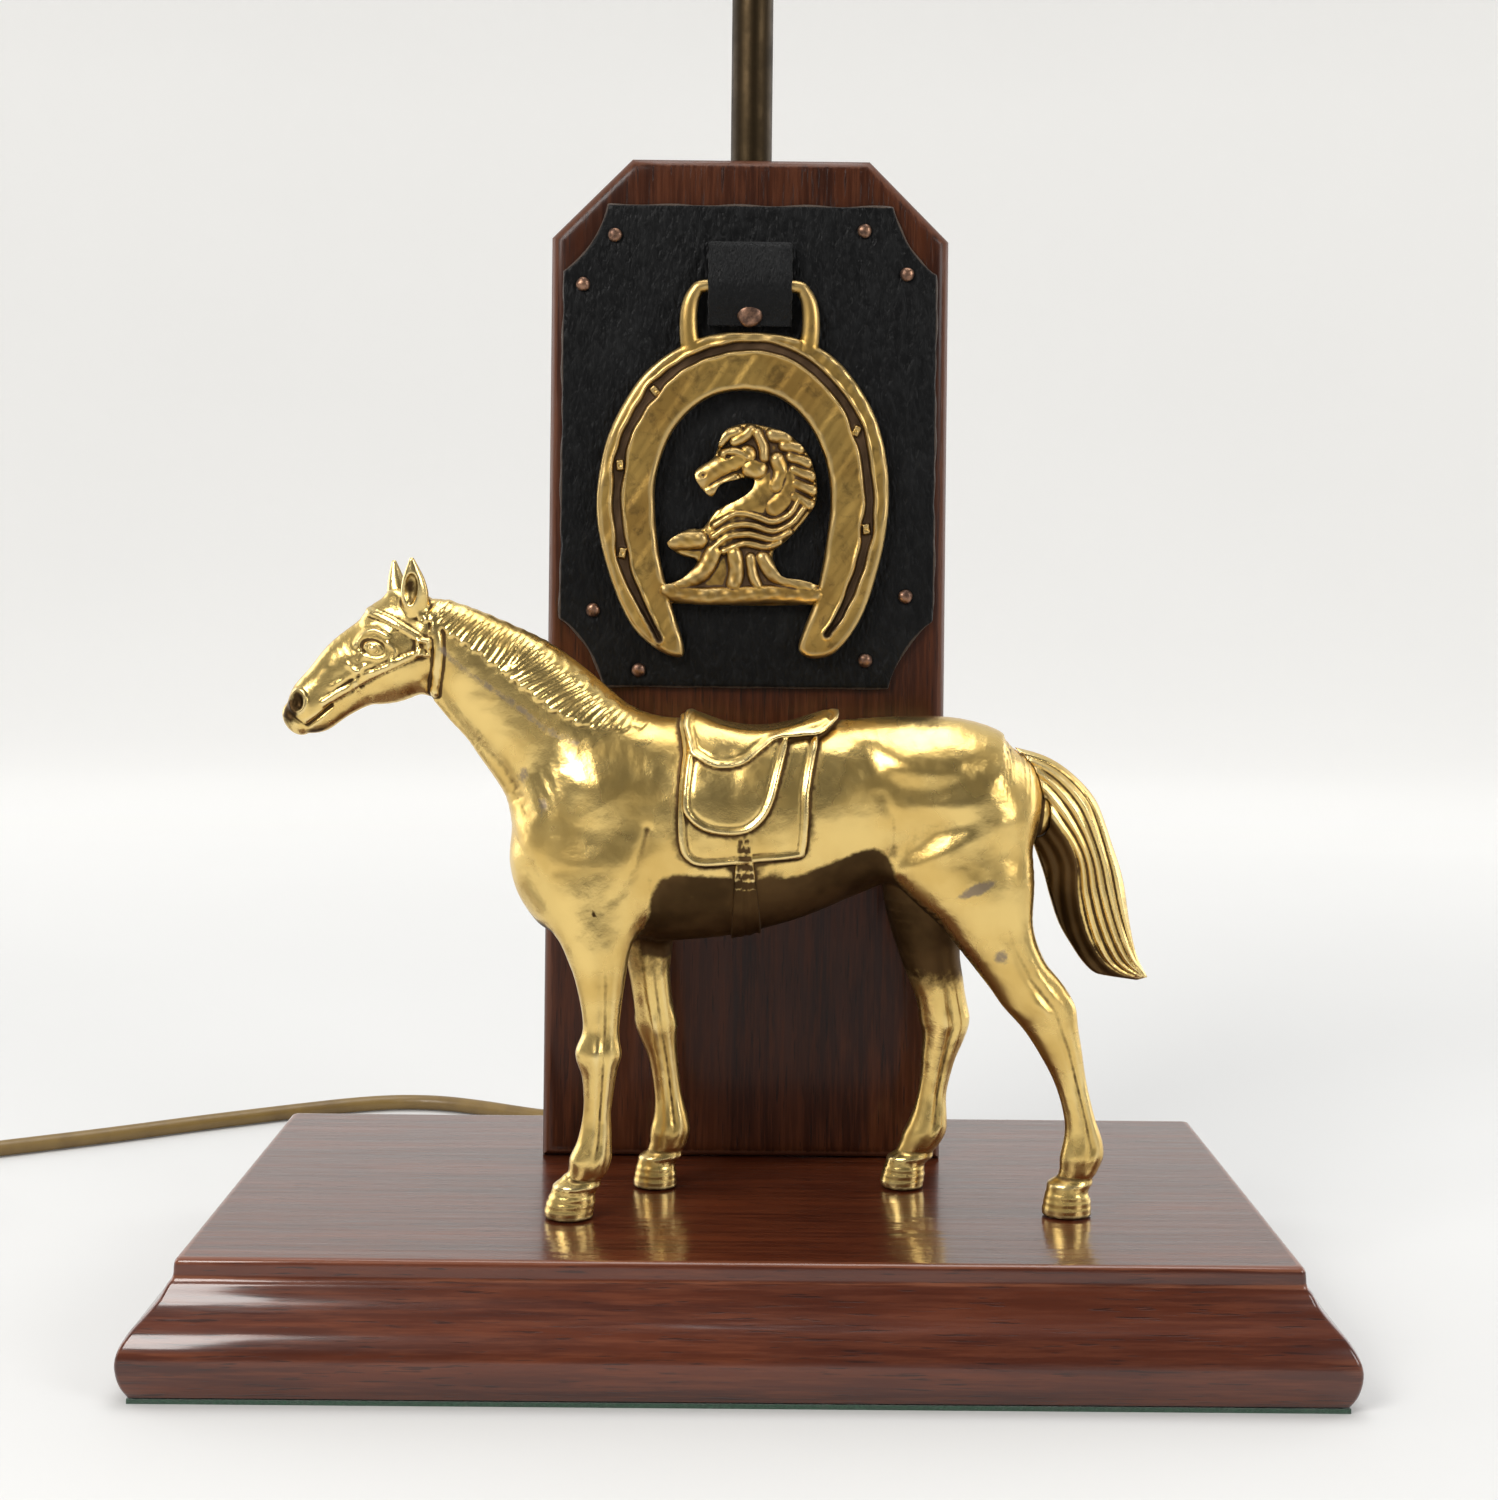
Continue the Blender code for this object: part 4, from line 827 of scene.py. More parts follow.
def coil_points():
    """Two layers of three rings, wound inwards below and outwards above."""
    points = []
    steps = 30
    for n in range(round(COIL_TURNS * steps) + 1):
        turn = n / steps
        ring = min(int(turn), 5)
        share = smoothstep(turn - ring, 1 - CROSSOVER, 1.0) if turn < 6 else 1.0
        radius = COIL_RADII[ring] + (COIL_RADII[ring + 1] - COIL_RADII[ring]) * share
        climb = smoothstep(turn, 3 - CROSSOVER, 3.0)
        angle = radians(COIL_ENTRY) + 2 * pi * turn
        points.append((COIL_CENTRE[0] + radius * cos(angle), COIL_CENTRE[1] + radius * sin(angle),
                       COIL_LOW + (COIL_HIGH - COIL_LOW) * float(climb)))
    return points


def make_lead():
    run = even_path(LEAD_ROUTE[:-1], 9.0)
    coil = coil_points()
    tail = even_path([coil[-1]] + TAIL_ROUTE, 4.0)[1:]
    points = [tuple(p) for p in run] + coil + [tuple(p) for p in tail]
    curve = bpy.data.curves.new("mains_lead", "CURVE")
    curve.dimensions = "3D"
    curve.bevel_depth = FLEX_DIAMETER / 2 * MM
    curve.bevel_resolution = 4
    curve.use_fill_caps = True
    spline = curve.splines.new("POLY")
    dense = even_path(points, 2.2)
    spline.points.add(len(dense) - 1)
    for target, point in zip(spline.points, dense):
        target.co = (*(Vector(point) * MM), 1.0)
    spline.use_smooth = True
    curve.materials.append(FLEX_SHEATH)
    lead = bpy.data.objects.new("mains_lead", curve)
    bpy.context.scene.collection.objects.link(lead)
    settle(lead, "lamp", ("flex_run", "flex_coil", "flex_tail"))
    return lead


def make_tie():
    """A cable tie over the coil's section, open below where the lead meets the surface."""
    x = COIL_CENTRE[0]
    line = [(x + 22.6, 1.2), (x + 22.4, 8.0), (x + 23.4, 12.0), (x + 26.4, 12.9), (x + 33.0, 13.0),
            (x + 39.6, 12.9),
            (x + 42.5, 12.0), (x + 43.1, 8.0), (x + 42.9, 1.2)]
    middle = even_path([(a, 0.0, b) for a, b in line], 1.2)
    strap = ribbon("coil_tie", middle, (0.0, 1.0, 0.0), COIL_CENTRE[1], 4.6, 1.1, BLACK_PLASTIC)
    settle(strap, "lamp", ("flex_tie",))
    return strap


def ribbon(name, middle, across, along_offset, half_width, thickness, surface, edge_wobble=0.0):
    """A strip with rounded edges along a path, flat across one axis. Its edges carry the attribute edge."""
    across = np.array(across, float)
    radius = thickness / 2
    flat = 2 * (half_width - radius)
    round_steps, flat_steps = 4, 6
    section = []
    for side in (1, -1):
        for k in range(round_steps + 1):
            a = radians(-90 + 180 * k / round_steps)
            section.append((side * (flat / 2 + radius * cos(a)), side * radius * sin(a)))
        for k in range(1, flat_steps):
            section.append((side * (flat / 2 - flat * k / flat_steps), side * radius))
    points, edge = [], []
    for k, here in enumerate(middle):
        along = middle[min(k + 1, len(middle) - 1)] - middle[max(k - 1, 0)]
        along = along / np.linalg.norm(along)
        up = np.cross(across, along)
        for w, t in section:
            wobble = 1 + edge_wobble * sin(k * 0.83 + 1.7 * (w > 0)) * abs(w) / half_width / half_width
            points.append(here + across * (w * wobble + along_offset) + up * t)
            edge.append(0.3 if abs(w) > half_width - 0.6 * thickness else 0.0)
    made = mesh_piece(name, points, ring_faces(len(middle), len(section)), surface, smooth_angle=50)
    give_attribute(made, "edge", edge)
    return made


PLUG_X, PLUG_Y = -338.0, -12.0
PLUG_SPLIT, PLUG_FACE = 8.3, 20.0
PLUG_HALF = 25.0
PLUG_CORNERS = [
    (-19.0, 25.0), (0.0, 25.2), (19.0, 25.0), (24.2, 19.0), (24.4, 4.0), (20.5, -19.0), (13.0, -25.0),
    (0.0, -25.4), (-13.0, -25.0), (-20.5, -19.0), (-24.4, 4.0), (-24.2, 19.0),
]


def plug_half(name, rows, replaced):
    """One half of the plug's shell: rows of (inset, height), capped at both ends."""
    outline = smooth_path(PLUG_CORNERS, 7, closed=True)
    scales = [(1 - inset / PLUG_HALF, z) for inset, z in rows]
    points = [(PLUG_X + x * scale, PLUG_Y + y * scale, z) for scale, z in scales for x, y in outline]
    return mesh_piece(name, points, ring_faces(len(rows), len(outline)), BLACK_PLASTIC, slot="black_plastic",
                      replaces=(replaced,), smooth_angle=40)


def ribs(count, start, pitch, wide, taper, depth, marks):
    """Tapering ribs of a strain relief; marks are where the land ends and its valley starts and ends."""
    rows = []
    for k in range(count):
        base = start + pitch * k
        radius = wide - taper * k
        rows += [(radius, base), (radius, base + marks[0])]
        rows += [(radius - depth, base + mark) for mark in marks[1:]]
    return rows


def arc_rows(radius, low, high, steps=5):
    """Rows of (inset, height) that round an edge, from inset at its low side to flush at its high side."""
    rows = []
    for k in range(steps + 1):
        a = pi / 2 * k / steps
        rows.append((radius * (1 - sin(a)), low + (high - low) * (1 - cos(a))))
    return rows


def make_plug():
    """A rounded square-pin plug lying on its back, pins up."""
    cover = [(4.0, 0.2)] + arc_rows(2.2, 0.2, 2.6) + [(0.0, PLUG_SPLIT - 0.9), (0.5, PLUG_SPLIT - 0.3)]
    rim, steps = 2.2, 5
    body = [(0.5, PLUG_SPLIT), (0.0, PLUG_SPLIT + 0.6), (0.0, PLUG_FACE - rim)]
    for a in (pi / 2 * k / steps for k in range(1, steps + 1)):
        body.append((2.0 * (1 - cos(a)), PLUG_FACE - rim + rim * sin(a)))
    body.append((5.0, PLUG_FACE))
    lower = plug_half("plug_cover_shell", cover, "plug_cover")
    upper = plug_half("plug_body_shell", body, "plug_body")
    entry = PLUG_Y + 26.0
    profile = [(3.1, 0.3), (5.2, 0.3), (5.6, 1.0)]
    profile += ribs(5, 2.0, 3.6, 5.5, 0.34, 0.9, (1.9, 2.3, 3.1))
    profile += [(3.9, 20.2), (3.1, 20.5)]
    sleeve = turned("plug_sleeve_ribbed", (PLUG_X, entry, 9.0), rounded(profile, 0.3, 2), BLACK_PLASTIC,
                    axis="y",
                    sides=40, hollow=True, slot="black_plastic", replaces=("plug_sleeve",))
    return [lower, upper, sleeve]


def make_grommet():
    """Flanged strain relief with ribs that taper along the lead."""
    profile = [(3.1, 67.0), (4.5, 67.0), (4.5, 81.9), (7.0, 82.9), (7.0, 86.8), (5.0, 87.4)]
    profile += ribs(6, 88.0, 3.2, 4.95, 0.14, 0.75, (1.7, 2.0, 2.8))
    profile += [(4.0, 107.6), (3.1, 108.0)]
    return turned("lead_grommet", (0.0, 0.0, 11.0), rounded(profile, 0.3, 2), BLACK_PLASTIC, axis="y",
                  sides=40,
                  hollow=True, slot="black_plastic", replaces=("flex_grommet",))


# ---------------------------------------------------------------- base and board

EDGE_PROFILE = [
    (-2.0, 0.0), (-0.9, 0.1), (0.0, 0.8), (0.25, 2.4), (0.35, 4.2), (0.7, 5.3), (1.5, 6.3), (2.2, 7.7),
    (3.1, 9.4), (4.6, 11.4), (6.6, 13.6), (9.2, 16.4), (11.2, 19.8), (12.0, 23.1), (11.7, 26.6),
    (10.8, 29.8), (9.5, 32.3),
]
BASE_HALF_WIDTH, BASE_HALF_DEPTH = 146.5, 73.0
BOARD_CLIP, BOARD_ARRIS = 24.3, 4.0


def rounded_rectangle(half_x, half_y, radius, steps=4, along=10):
    """Points round a rectangle with small round corners, with extra points along its sides."""
    ring = []
    for number, (sx, sy) in enumerate([(1, -1), (1, 1), (-1, 1), (-1, -1)]):
        cx, cy = sx * (half_x - radius), sy * (half_y - radius)
        start = -90 + 90 * number
        for k in range(steps + 1):
            a = radians(start + 90 * k / steps)
            ring.append((cx + radius * cos(a), cy + radius * sin(a)))
    full = []
    for k, here in enumerate(ring):
        after = ring[(k + 1) % len(ring)]
        full.append(here)
        if (k + 1) % (steps + 1) == 0:
            full += [(here[0] + (after[0] - here[0]) * s / along, here[1] + (after[1] - here[1]) * s / along)
                     for s in range(1, along)]
    return full


def make_base():
    """The moulded base: rings of its edge profile from the middle of the top down to the baize."""
    rows = [(-40.0, 0.0), (-12.0, 0.0), (-5.0, 0.0)] + smooth_path(EDGE_PROFILE, 3)
    points, edge = [], []
    for out, down in rows:
        corner = 1.4 if out > -3 else 1.0
        ring = rounded_rectangle(BASE_HALF_WIDTH + out, BASE_HALF_DEPTH + out, corner)
        points += [(x, y, TOP - down) for x, y in ring]
        top_arris = np.exp(-((down - 0.4) / 0.8) ** 2) * (out > -1.8)
        step_arris = np.exp(-((down - 4.9) / 0.7) ** 2)
        belly = 0.25 * np.exp(-((down - 21.5) / 4.0) ** 2)
        for x, y in ring:
            to_corner = np.hypot(BASE_HALF_WIDTH + out - abs(x), BASE_HALF_DEPTH + out - abs(y))
            near_corner = np.exp(-(to_corner / 5.0) ** 2)
            edge.append(min(1.0, 0.85 * top_arris + 0.75 * step_arris + belly + 0.35 * near_corner))
    base = mesh_piece("moulded_base", points, ring_faces(len(rows), len(ring)), BASE_WOOD, slot="mahogany",
                      replaces=("base_board",), smooth_angle=50)
    give_attribute(base, "edge", edge)


def make_board():
    """Upright board with clipped top corners and rounded arrises."""
    low_x, high_x = BOARD_LOW[0], BOARD_HIGH[0]
    low_z, high_z = BOARD_LOW[2], BOARD_HIGH[2]
    front, back = BOARD_LOW[1], BOARD_HIGH[1]
    clip, radius, steps, per_side = BOARD_CLIP, BOARD_ARRIS, 6, 8
    outline = [(low_x, low_z), (high_x, low_z), (high_x, high_z - clip), (high_x - clip, high_z),
               (low_x + clip, high_z), (low_x, high_z - clip)]
    rows = [(radius + 9.0, front), (radius + 2.0, front)]
    rows += [(radius * (1 - sin(pi / 2 * k / steps)), front + radius * (1 - cos(pi / 2 * k / steps)))
             for k in range(steps + 1)]
    rows += [(inset, front + back - y) for inset, y in reversed(rows)]
    points, edge = [], []
    for inset, y in rows:
        ring = inset_outline(outline, inset)
        ring = [(a[0] + (b[0] - a[0]) * s / per_side, a[1] + (b[1] - a[1]) * s / per_side)
                for a, b in zip(ring, ring[1:] + ring[:1]) for s in range(per_side)]
        points += [(x, y, max(z, low_z)) for x, z in ring]
        arris = np.exp(-((inset - 1.2) / 1.6) ** 2)
        edge += [float(arris)] * len(ring)
    board = mesh_piece("upright_board", points, ring_faces(len(rows), len(ring)), BOARD_WOOD, slot="mahogany",
                       replaces=("back_board",), smooth_angle=45)
    give_attribute(board, "edge", edge)


def inset_outline(outline, inset):
    """An outline moved inwards, with mitred corners; it runs anticlockwise seen from the front."""
    moved = []
    count = len(outline)
    for k in range(count):
        before, here, after = (np.array(outline[(k + j) % count], float) for j in (-1, 0, 1))
        one = (here - before) / np.linalg.norm(here - before)
        two = (after - here) / np.linalg.norm(after - here)
        n1, n2 = np.array((-one[1], one[0])), np.array((-two[1], two[0]))
        both = n1 + n2
        moved.append(tuple(here + both * (inset / max(0.2, both @ n1))))
    return moved


# ---------------------------------------------------------------- plaque, tacks, strap and rivet

TACKS = [
    (-41.0, 280.0), (-50.5, 265.0), (34.5, 282.0), (47.5, 269.0), (-46.5, 166.5), (-32.5, 148.5),
    (48.0, 171.5), (36.0, 152.0),
]
PLAQUE_FRONT, PLAQUE_BACK = 20.2, 22.2
PLAQUE_STEP, BRASS_STEP = 0.5, 0.32                          # grid steps
RIVET = (0.0, 256.1)


def plaque_outline():
    """A rectangle whose corners are scooped out by shallow arcs."""
    half_width, low, high = 56.8, 143.3, 289.6
    scoop_x, scoop_z, steps = 13.5, 20.5, 12
    outline = []
    for number, (side, z, inward) in enumerate([(1, low, 1), (1, high, -1), (-1, high, -1), (-1, low, 1)]):
        arc = []
        for k in range(steps + 1):
            a = pi / 2 * k / steps
            from_side = scoop_x * (cos(a) + 1 - k / steps) / 2
            from_end = scoop_z * (sin(a) + k / steps) / 2
            arc.append((side * (half_width - from_side), z + inward * from_end))
        if number in (1, 3):
            arc.reverse()
        outline += arc
    return outline


def make_plaque():
    """Thin leather, its cut edge a little uneven, dimpled where the tacks pull it down."""
    plate = Volume((-59.0, PLAQUE_FRONT - 1.5, TOP + 141.5), (59.0, PLAQUE_BACK + 1.0, TOP + 291.5),
                   PLAQUE_STEP)
    where, x, y, z = plate.part(plate.low, plate.low + 400)
    flat_x, flat_z = x[:, 0, :], z[:, 0, :] - TOP
    edge_gap = outline_distance(flat_x, flat_z, plaque_outline())
    edge_gap = edge_gap + 0.22 * np.sin(flat_x * 0.31 + flat_z * 0.17)
    edge_gap = edge_gap + 0.15 * np.sin(flat_z * 0.53 - flat_x * 0.29)
    swell = 0.10 * np.sin(flat_x * 0.071 + 0.6) * np.sin(flat_z * 0.047 + 1.1)
    front = PLAQUE_FRONT - 0.1 - swell
    for tx, tz in TACKS:
        front = front + 0.35 * np.exp(-(((flat_x - tx) / 3.2) ** 2 + ((flat_z - tz) / 3.2) ** 2))
    inside = np.maximum(-edge_gap, 0.0)
    front = front + 0.7 * np.maximum(1 - inside / 0.9, 0.0) ** 2
    slab = np.maximum(front[:, None, :] - y, y - PLAQUE_BACK)
    plate.field[where] = np.maximum(slab, edge_gap[:, None, :])

    def paint(at, slope):
        rim = outline_distance(at[:, 0], at[:, 2] - TOP, plaque_outline())
        return {"edge": np.clip(1.0 + rim / 1.1, 0.0, 1.0)}

    volume_piece("plaque_hide", plate, PLAQUE_LEATHER, "lamp", "leather", ("leather_plaque",),
                 most_faces=60000, paint=paint)


def hammered(seed, depth, low, high):
    """A small unevenness round the part of a turned head between two distances."""
    def ripple(angle, along):
        wave = sin(3 * angle + seed * 1.7) + 0.6 * sin(5 * angle + seed * 2.9 + along * 2)
        return depth * wave if low < along < high else 0.0
    return ripple


def make_tacks():
    dome = [(0.05, -1.42), (0.5, -1.38), (1.0, -1.28), (1.5, -1.06), (1.9, -0.74), (2.12, -0.38),
            (2.16, -0.15), (1.9, -0.05),
            (0.65, -0.05), (0.65, 5.4), (0.3, 6.6), (0.05, 7.0)]
    for number, (x, z) in enumerate(TACKS, 1):
        turned(f"copper_tack_{number}", (x, PLAQUE_FRONT - 0.15, TOP + z), dome, COPPER, axis="y", sides=40,
               ripple=hammered(number, 0.05, -1.3, -0.1),
               slot="copper", replaces=(f"plaque_tack_{number}",))


STRAP_LINE = [
    (19.1, 252.8), (19.1, 262.0), (19.1, 271.5), (18.9, 275.6), (17.6, 277.3), (16.1, 276.3), (15.0, 273.0),
    (13.9, 269.0), (13.3, 265.4), (13.5, 262.4), (14.4, 259.5), (15.6, 256.8), (16.6, 254.9), (17.1, 252.8),
]


def make_strap():
    middle = even_path([(0.0, y, TOP + z) for y, z in STRAP_LINE], 0.8)
    strap = ribbon("brass_strap_hide", middle, (1.0, 0.0, 0.0), 0.0, 12.6, 1.6, STRAP_LEATHER,
                   edge_wobble=0.12)
    settle(strap, "lamp", ("brass_strap",))
    head = [(0.05, -2.05), (0.8, -2.0), (1.7, -1.95), (2.4, -1.75), (3.0, -1.5), (3.6, -1.05), (3.95, -0.6),
            (4.0, -0.2),
            (3.6, -0.05), (1.15, -0.05), (1.15, 8.6), (0.4, 9.3)]
    turned("copper_rivet", (RIVET[0], 16.1, TOP + RIVET[1]), head, COPPER, axis="y", sides=48,
           ripple=hammered(4, 0.09, -3.0, -0.1),
           slot="copper", replaces=("strap_rivet",))


# ---------------------------------------------------------------- horse brass

SHOE_OUTLINE = [
    (-20.0, 152.6), (-27.0, 155.0), (-35.2, 162.9), (-42.0, 179.0), (-45.5, 197.0), (-43.0, 216.6),
    (-36.2, 231.5), (-27.7, 241.5), (-14.0, 249.0), (0.0, 250.6), (14.0, 248.9), (25.0, 243.6),
    (33.5, 234.0), (39.5, 221.8), (42.4, 205.0), (41.0, 187.0), (35.3, 166.9), (27.5, 155.2), (20.5, 152.6),
    (15.8, 155.0), (17.2, 161.5), (20.8, 171.5), (23.6, 187.0), (24.9, 201.0), (23.0, 213.0), (17.6, 223.8),
    (9.5, 230.8), (0.0, 233.0), (-9.2, 231.9), (-16.8, 227.6), (-23.4, 219.5), (-27.4, 208.3),
    (-28.0, 198.0), (-26.4, 183.0), (-22.5, 168.0), (-18.9, 156.4),
]
CREST_OUTLINE = [
    (-24.5, 168.9), (-26.0, 173.6), (-19.7, 176.2), (-15.0, 181.6), (-19.8, 183.2), (-24.2, 187.0),
    (-17.8, 191.2), (-13.4, 191.6), (-9.6, 196.9), (-3.4, 200.0), (0.9, 203.1), (1.6, 206.6), (-3.5, 206.2),
    (-8.4, 204.6), (-10.6, 201.0), (-13.2, 202.6), (-16.0, 206.6), (-15.2, 209.6), (-10.4, 212.9),
    (-8.0, 219.6), (-4.7, 222.3), (0.5, 223.2), (9.5, 221.2), (15.0, 217.6), (18.6, 213.0), (20.6, 206.0),
    (20.4, 199.5), (16.8, 193.6), (11.3, 187.6), (7.6, 184.0), (10.3, 177.4), (16.6, 176.2), (23.0, 173.6),
    (22.2, 168.9),
]
SHOE_GROOVE = [
    (-26.2, 158.0), (-27.6, 160.7), (-32.0, 169.0), (-36.3, 178.3), (-38.2, 188.6), (-39.3, 197.9),
    (-38.9, 208.3), (-37.2, 217.6), (-32.7, 226.9), (-26.6, 235.2), (-18.4, 241.4), (-10.1, 244.7),
    (-0.8, 246.3), (8.5, 245.4), (16.8, 241.4), (24.2, 235.2), (29.9, 228.0), (33.1, 220.7), (35.3, 211.4),
    (36.5, 201.1), (36.0, 191.7), (34.6, 183.5), (31.6, 174.1), (28.1, 165.9), (24.2, 160.0),
]
NAIL_HEADS = [(-28.3, 232.6, 40), (-38.5, 210.2, 5), (-37.5, 183.8, -12), (32.4, 221.2, -25),
              (35.6, 191.7, 8)]
EYE_STATIONS = [
    (-17.6, 245.0, 3.0, 1.8), (-18.4, 251.0, 2.8, 1.9), (-18.2, 257.5, 2.6, 1.9), (-16.6, 262.2, 2.2, 1.9),
    (-13.4, 264.4, 1.9, 1.9), (0.0, 264.4, 1.9, 1.9), (13.4, 264.4, 1.9, 1.9), (16.6, 262.2, 2.2, 1.9),
    (18.2, 257.5, 2.6, 1.9), (18.4, 251.0, 2.8, 1.9), (17.6, 245.0, 3.0, 1.8),
]
BRASS_BACK = 18.1
# Strokes that model the little horse's head on its mound: (points, half-width, height above the plate).
CREST_STROKES = [
    ([(-14.3, 206.0), (-9.7, 209.2), (-5.5, 211.4), (-0.5, 213.5)], 3.4, 1.9),          # muzzle to forehead
    ([(-12.1, 202.4), (-8.6, 204.2), (-4.0, 206.4)], 2.0, 1.4),
    ([(1.0, 209.7), (2.9, 209.3)], 3.3, 2.1),
    ([(-7.3, 213.8), (-4.1, 214.6), (-0.5, 213.0)], 1.7, 2.3),
    ([(-8.6, 217.4), (-6.4, 219.6), (-3.4, 220.6)], 2.0, 1.9),
    ([(-4.0, 217.6), (-1.0, 219.5), (0.6, 221.0)], 2.0, 2.1),
    ([(2.6, 220.2), (4.4, 216.6), (4.8, 212.9)], 1.9, 2.4),
    # lock behind the cheek
    ([(8.7, 212.2), (9.8, 208.7), (8.4, 204.4)], 2.7, 2.2),
    ([(7.0, 219.6), (11.4, 219.0)], 2.3, 2.0),
    ([(10.8, 216.6), (15.2, 215.6)], 2.1, 2.0),
    ([(12.8, 213.2), (17.7, 211.4)], 2.0, 2.0),
    ([(13.6, 209.2), (18.9, 207.4)], 2.0, 2.0),
    ([(14.2, 205.2), (19.3, 203.1)], 2.0, 2.0),
    ([(13.8, 201.4), (18.6, 198.8)], 2.0, 1.9),
    ([(6.5, 204.5), (2.8, 199.9), (-2.8, 195.4), (-8.0, 189.4)], 5.2, 1.35),            # mass of the neck
    ([(12.3, 207.3), (11.6, 202.4), (8.1, 198.1)], 3.6, 1.75),
    ([(-9.9, 192.4), (-3.9, 195.8), (1.8, 195.3), (7.5, 193.6), (12.7, 196.0), (15.5, 200.6)], 1.35, 2.0),
    ([(-10.4, 188.9), (-5.3, 192.1), (1.1, 192.6), (7.5, 190.8), (13.1, 193.2), (16.6, 197.6)], 1.3, 1.95),
    ([(-10.5, 185.4), (-5.9, 188.9), (0.4, 189.8), (7.5, 188.3), (12.6, 190.6)], 1.35, 1.8),
    ([(-7.2, 184.6), (-1.0, 187.0), (5.4, 186.0), (9.6, 187.4)], 1.3, 1.6),
    ([(-22.6, 187.4), (-18.7, 187.7), (-14.4, 187.9)], 2.9, 1.8),                       # leaf
    ([(-10.3, 184.2), (-13.4, 178.4), (-19.9, 174.6)], 2.8, 1.9),
    ([(-3.8, 183.6), (-3.2, 178.8), (-4.0, 174.6)], 2.6, 1.9),
    ([(1.0, 182.6), (1.7, 177.8), (3.1, 174.4)], 1.9, 1.7),
    ([(4.6, 182.6), (7.8, 178.0), (13.3, 175.2), (19.0, 174.2)], 2.5, 1.9),
    ([(-24.2, 172.6), (-19.2, 171.8), (-13.5, 171.0), (-3.6, 171.4), (7.7, 172.0), (14.8, 171.8),
      (21.0, 171.4)], 2.9, 2.1),
]


def make_horse_brass():
    """A horseshoe with a groove and nail heads that holds a horse's head on a bar, with an eye above."""
    cast = Volume((-47.5, 12.2, TOP + 150.5), (44.5, 19.0, TOP + 268.5), BRASS_STEP)
    where, x, y, z = cast.part(cast.low, cast.low + 400)
    fx, fz = x[:, 0, :], z[:, 0, :] - TOP
    shoe = outline_distance(fx, fz, smooth_path(SHOE_OUTLINE, 6, closed=True))
    depth_in = np.clip(-shoe, 0.0, 1.6)
    height = 2.1 + np.sqrt(np.maximum(1.6 ** 2 - (1.6 - depth_in) ** 2, 0.0))
    height = height + 0.18 * np.sin(fx * 0.33 + 1.0) * np.sin(fz * 0.27)
    height = height + 0.12 * np.sin(fx * 0.9 - fz * 0.6)
    gap, _ = polyline_distance(fx, fz, smooth_path(SHOE_GROOVE, 5))
    nails = sum(lump(fx, fz, nx, nz, 3.0, 3.4) for nx, nz, _ in NAIL_HEADS)
    heels = smoothstep(fz, 158.0, 176.0)
    reach = 0.55 + 0.65 * heels + 0.85 * np.minimum(nails, 1.0) + 0.12 * np.sin(fx * 0.7 + fz * 0.5)
    height = height - 1.35 * smoothstep(reach + 0.35 - gap, 0.0, 0.7)
    height = height + 0.25 * np.exp(-((gap - reach - 0.8) / 0.35) ** 2)
    for nx, nz, turn in NAIL_HEADS:
        c, s = cos(radians(turn)), sin(radians(turn))
        u, v = (fx - nx) * c + (fz - nz) * s, (fz - nz) * c - (fx - nx) * s
        block = np.maximum(np.abs(u) - 0.95, np.abs(v) - 1.45)
        nail = 3.35 - 1.1 * smoothstep(block, -0.1, 0.35) - 0.35 * np.exp(-(u * u + v * v) / 0.16)
        height = np.maximum(height, np.where(block < 0.4, nail, 0.0))
    crest = outline_distance(fx, fz, smooth_path(CREST_OUTLINE, 3, closed=True))
    crest_height = 1.2 + np.sqrt(np.maximum(1.0 - (1.0 - np.clip(-crest, 0.0, 1.0)) ** 2, 0.0))
    for points, width, rise in CREST_STROKES:
        away, _ = polyline_distance(fx, fz, smooth_path(points, 4))
        bead = 1.75 + (rise + 0.35) * np.sqrt(np.maximum(1 - (away / width) ** 2, 0.0))
        crest_height = np.maximum(crest_height, np.where(away < width, bead, 0.0))
    crest_height = crest_height - 0.8 * lump(fx, fz, -6.2, 213.2, 0.9, 0.7)        # eye
    crest_height = crest_height - 0.7 * lump(fx, fz, -13.6, 207.4, 0.8, 0.7)       # nostril
    uneven = np.sin(fx * 1.3 + 0.9 * np.sin(fz * 0.9)) * np.sin(fz * 1.1 + fx * 0.4)
    crest_height = crest_height + 0.10 * uneven
    crest_height = np.where(crest < 0.6, crest_height, 0.0)
    front = BRASS_BACK - np.maximum(np.where(shoe < 0.6, height, 0.0), crest_height)
    slab = np.maximum(front[:, None, :] - y, y - BRASS_BACK)
    cast.field[where] = np.maximum(slab, np.minimum(shoe, crest)[:, None, :])
    stations = [(ex, 16.1, TOP + ez, a, b) for ex, ez, a, b in EYE_STATIONS]
    cast.limb(stations, blend=0.5)

    def paint(at, slope):
        x, z = at[:, 0], at[:, 2] - TOP
        away, _ = polyline_distance(x, z, smooth_path(SHOE_GROOVE, 5))
        groove_dirt = 0.8 * np.exp(-(away / 1.5) ** 4)
        nails = sum(np.exp(-(((x - nx) / 1.2) ** 2 + ((z - nz) / 1.6) ** 2) ** 2) for nx, nz, _ in NAIL_HEADS)
        back = np.clip(slope[:, 1], 0, 1) * 0.8
        return {"dull": np.clip(groove_dirt - nails * 0.9, 0, 1) + back, "worn": np.zeros(len(at))}

    volume_piece("hanging_horse_brass", cast, ANTIQUE_METAL, "hanging_brass", "antique_brass",
                 ("horse_brass",), paint=paint)


# ---------------------------------------------------------------- horse
# Stations are (X, Y, height above the base, half-thickness in the XZ plane, half-thickness along Y).

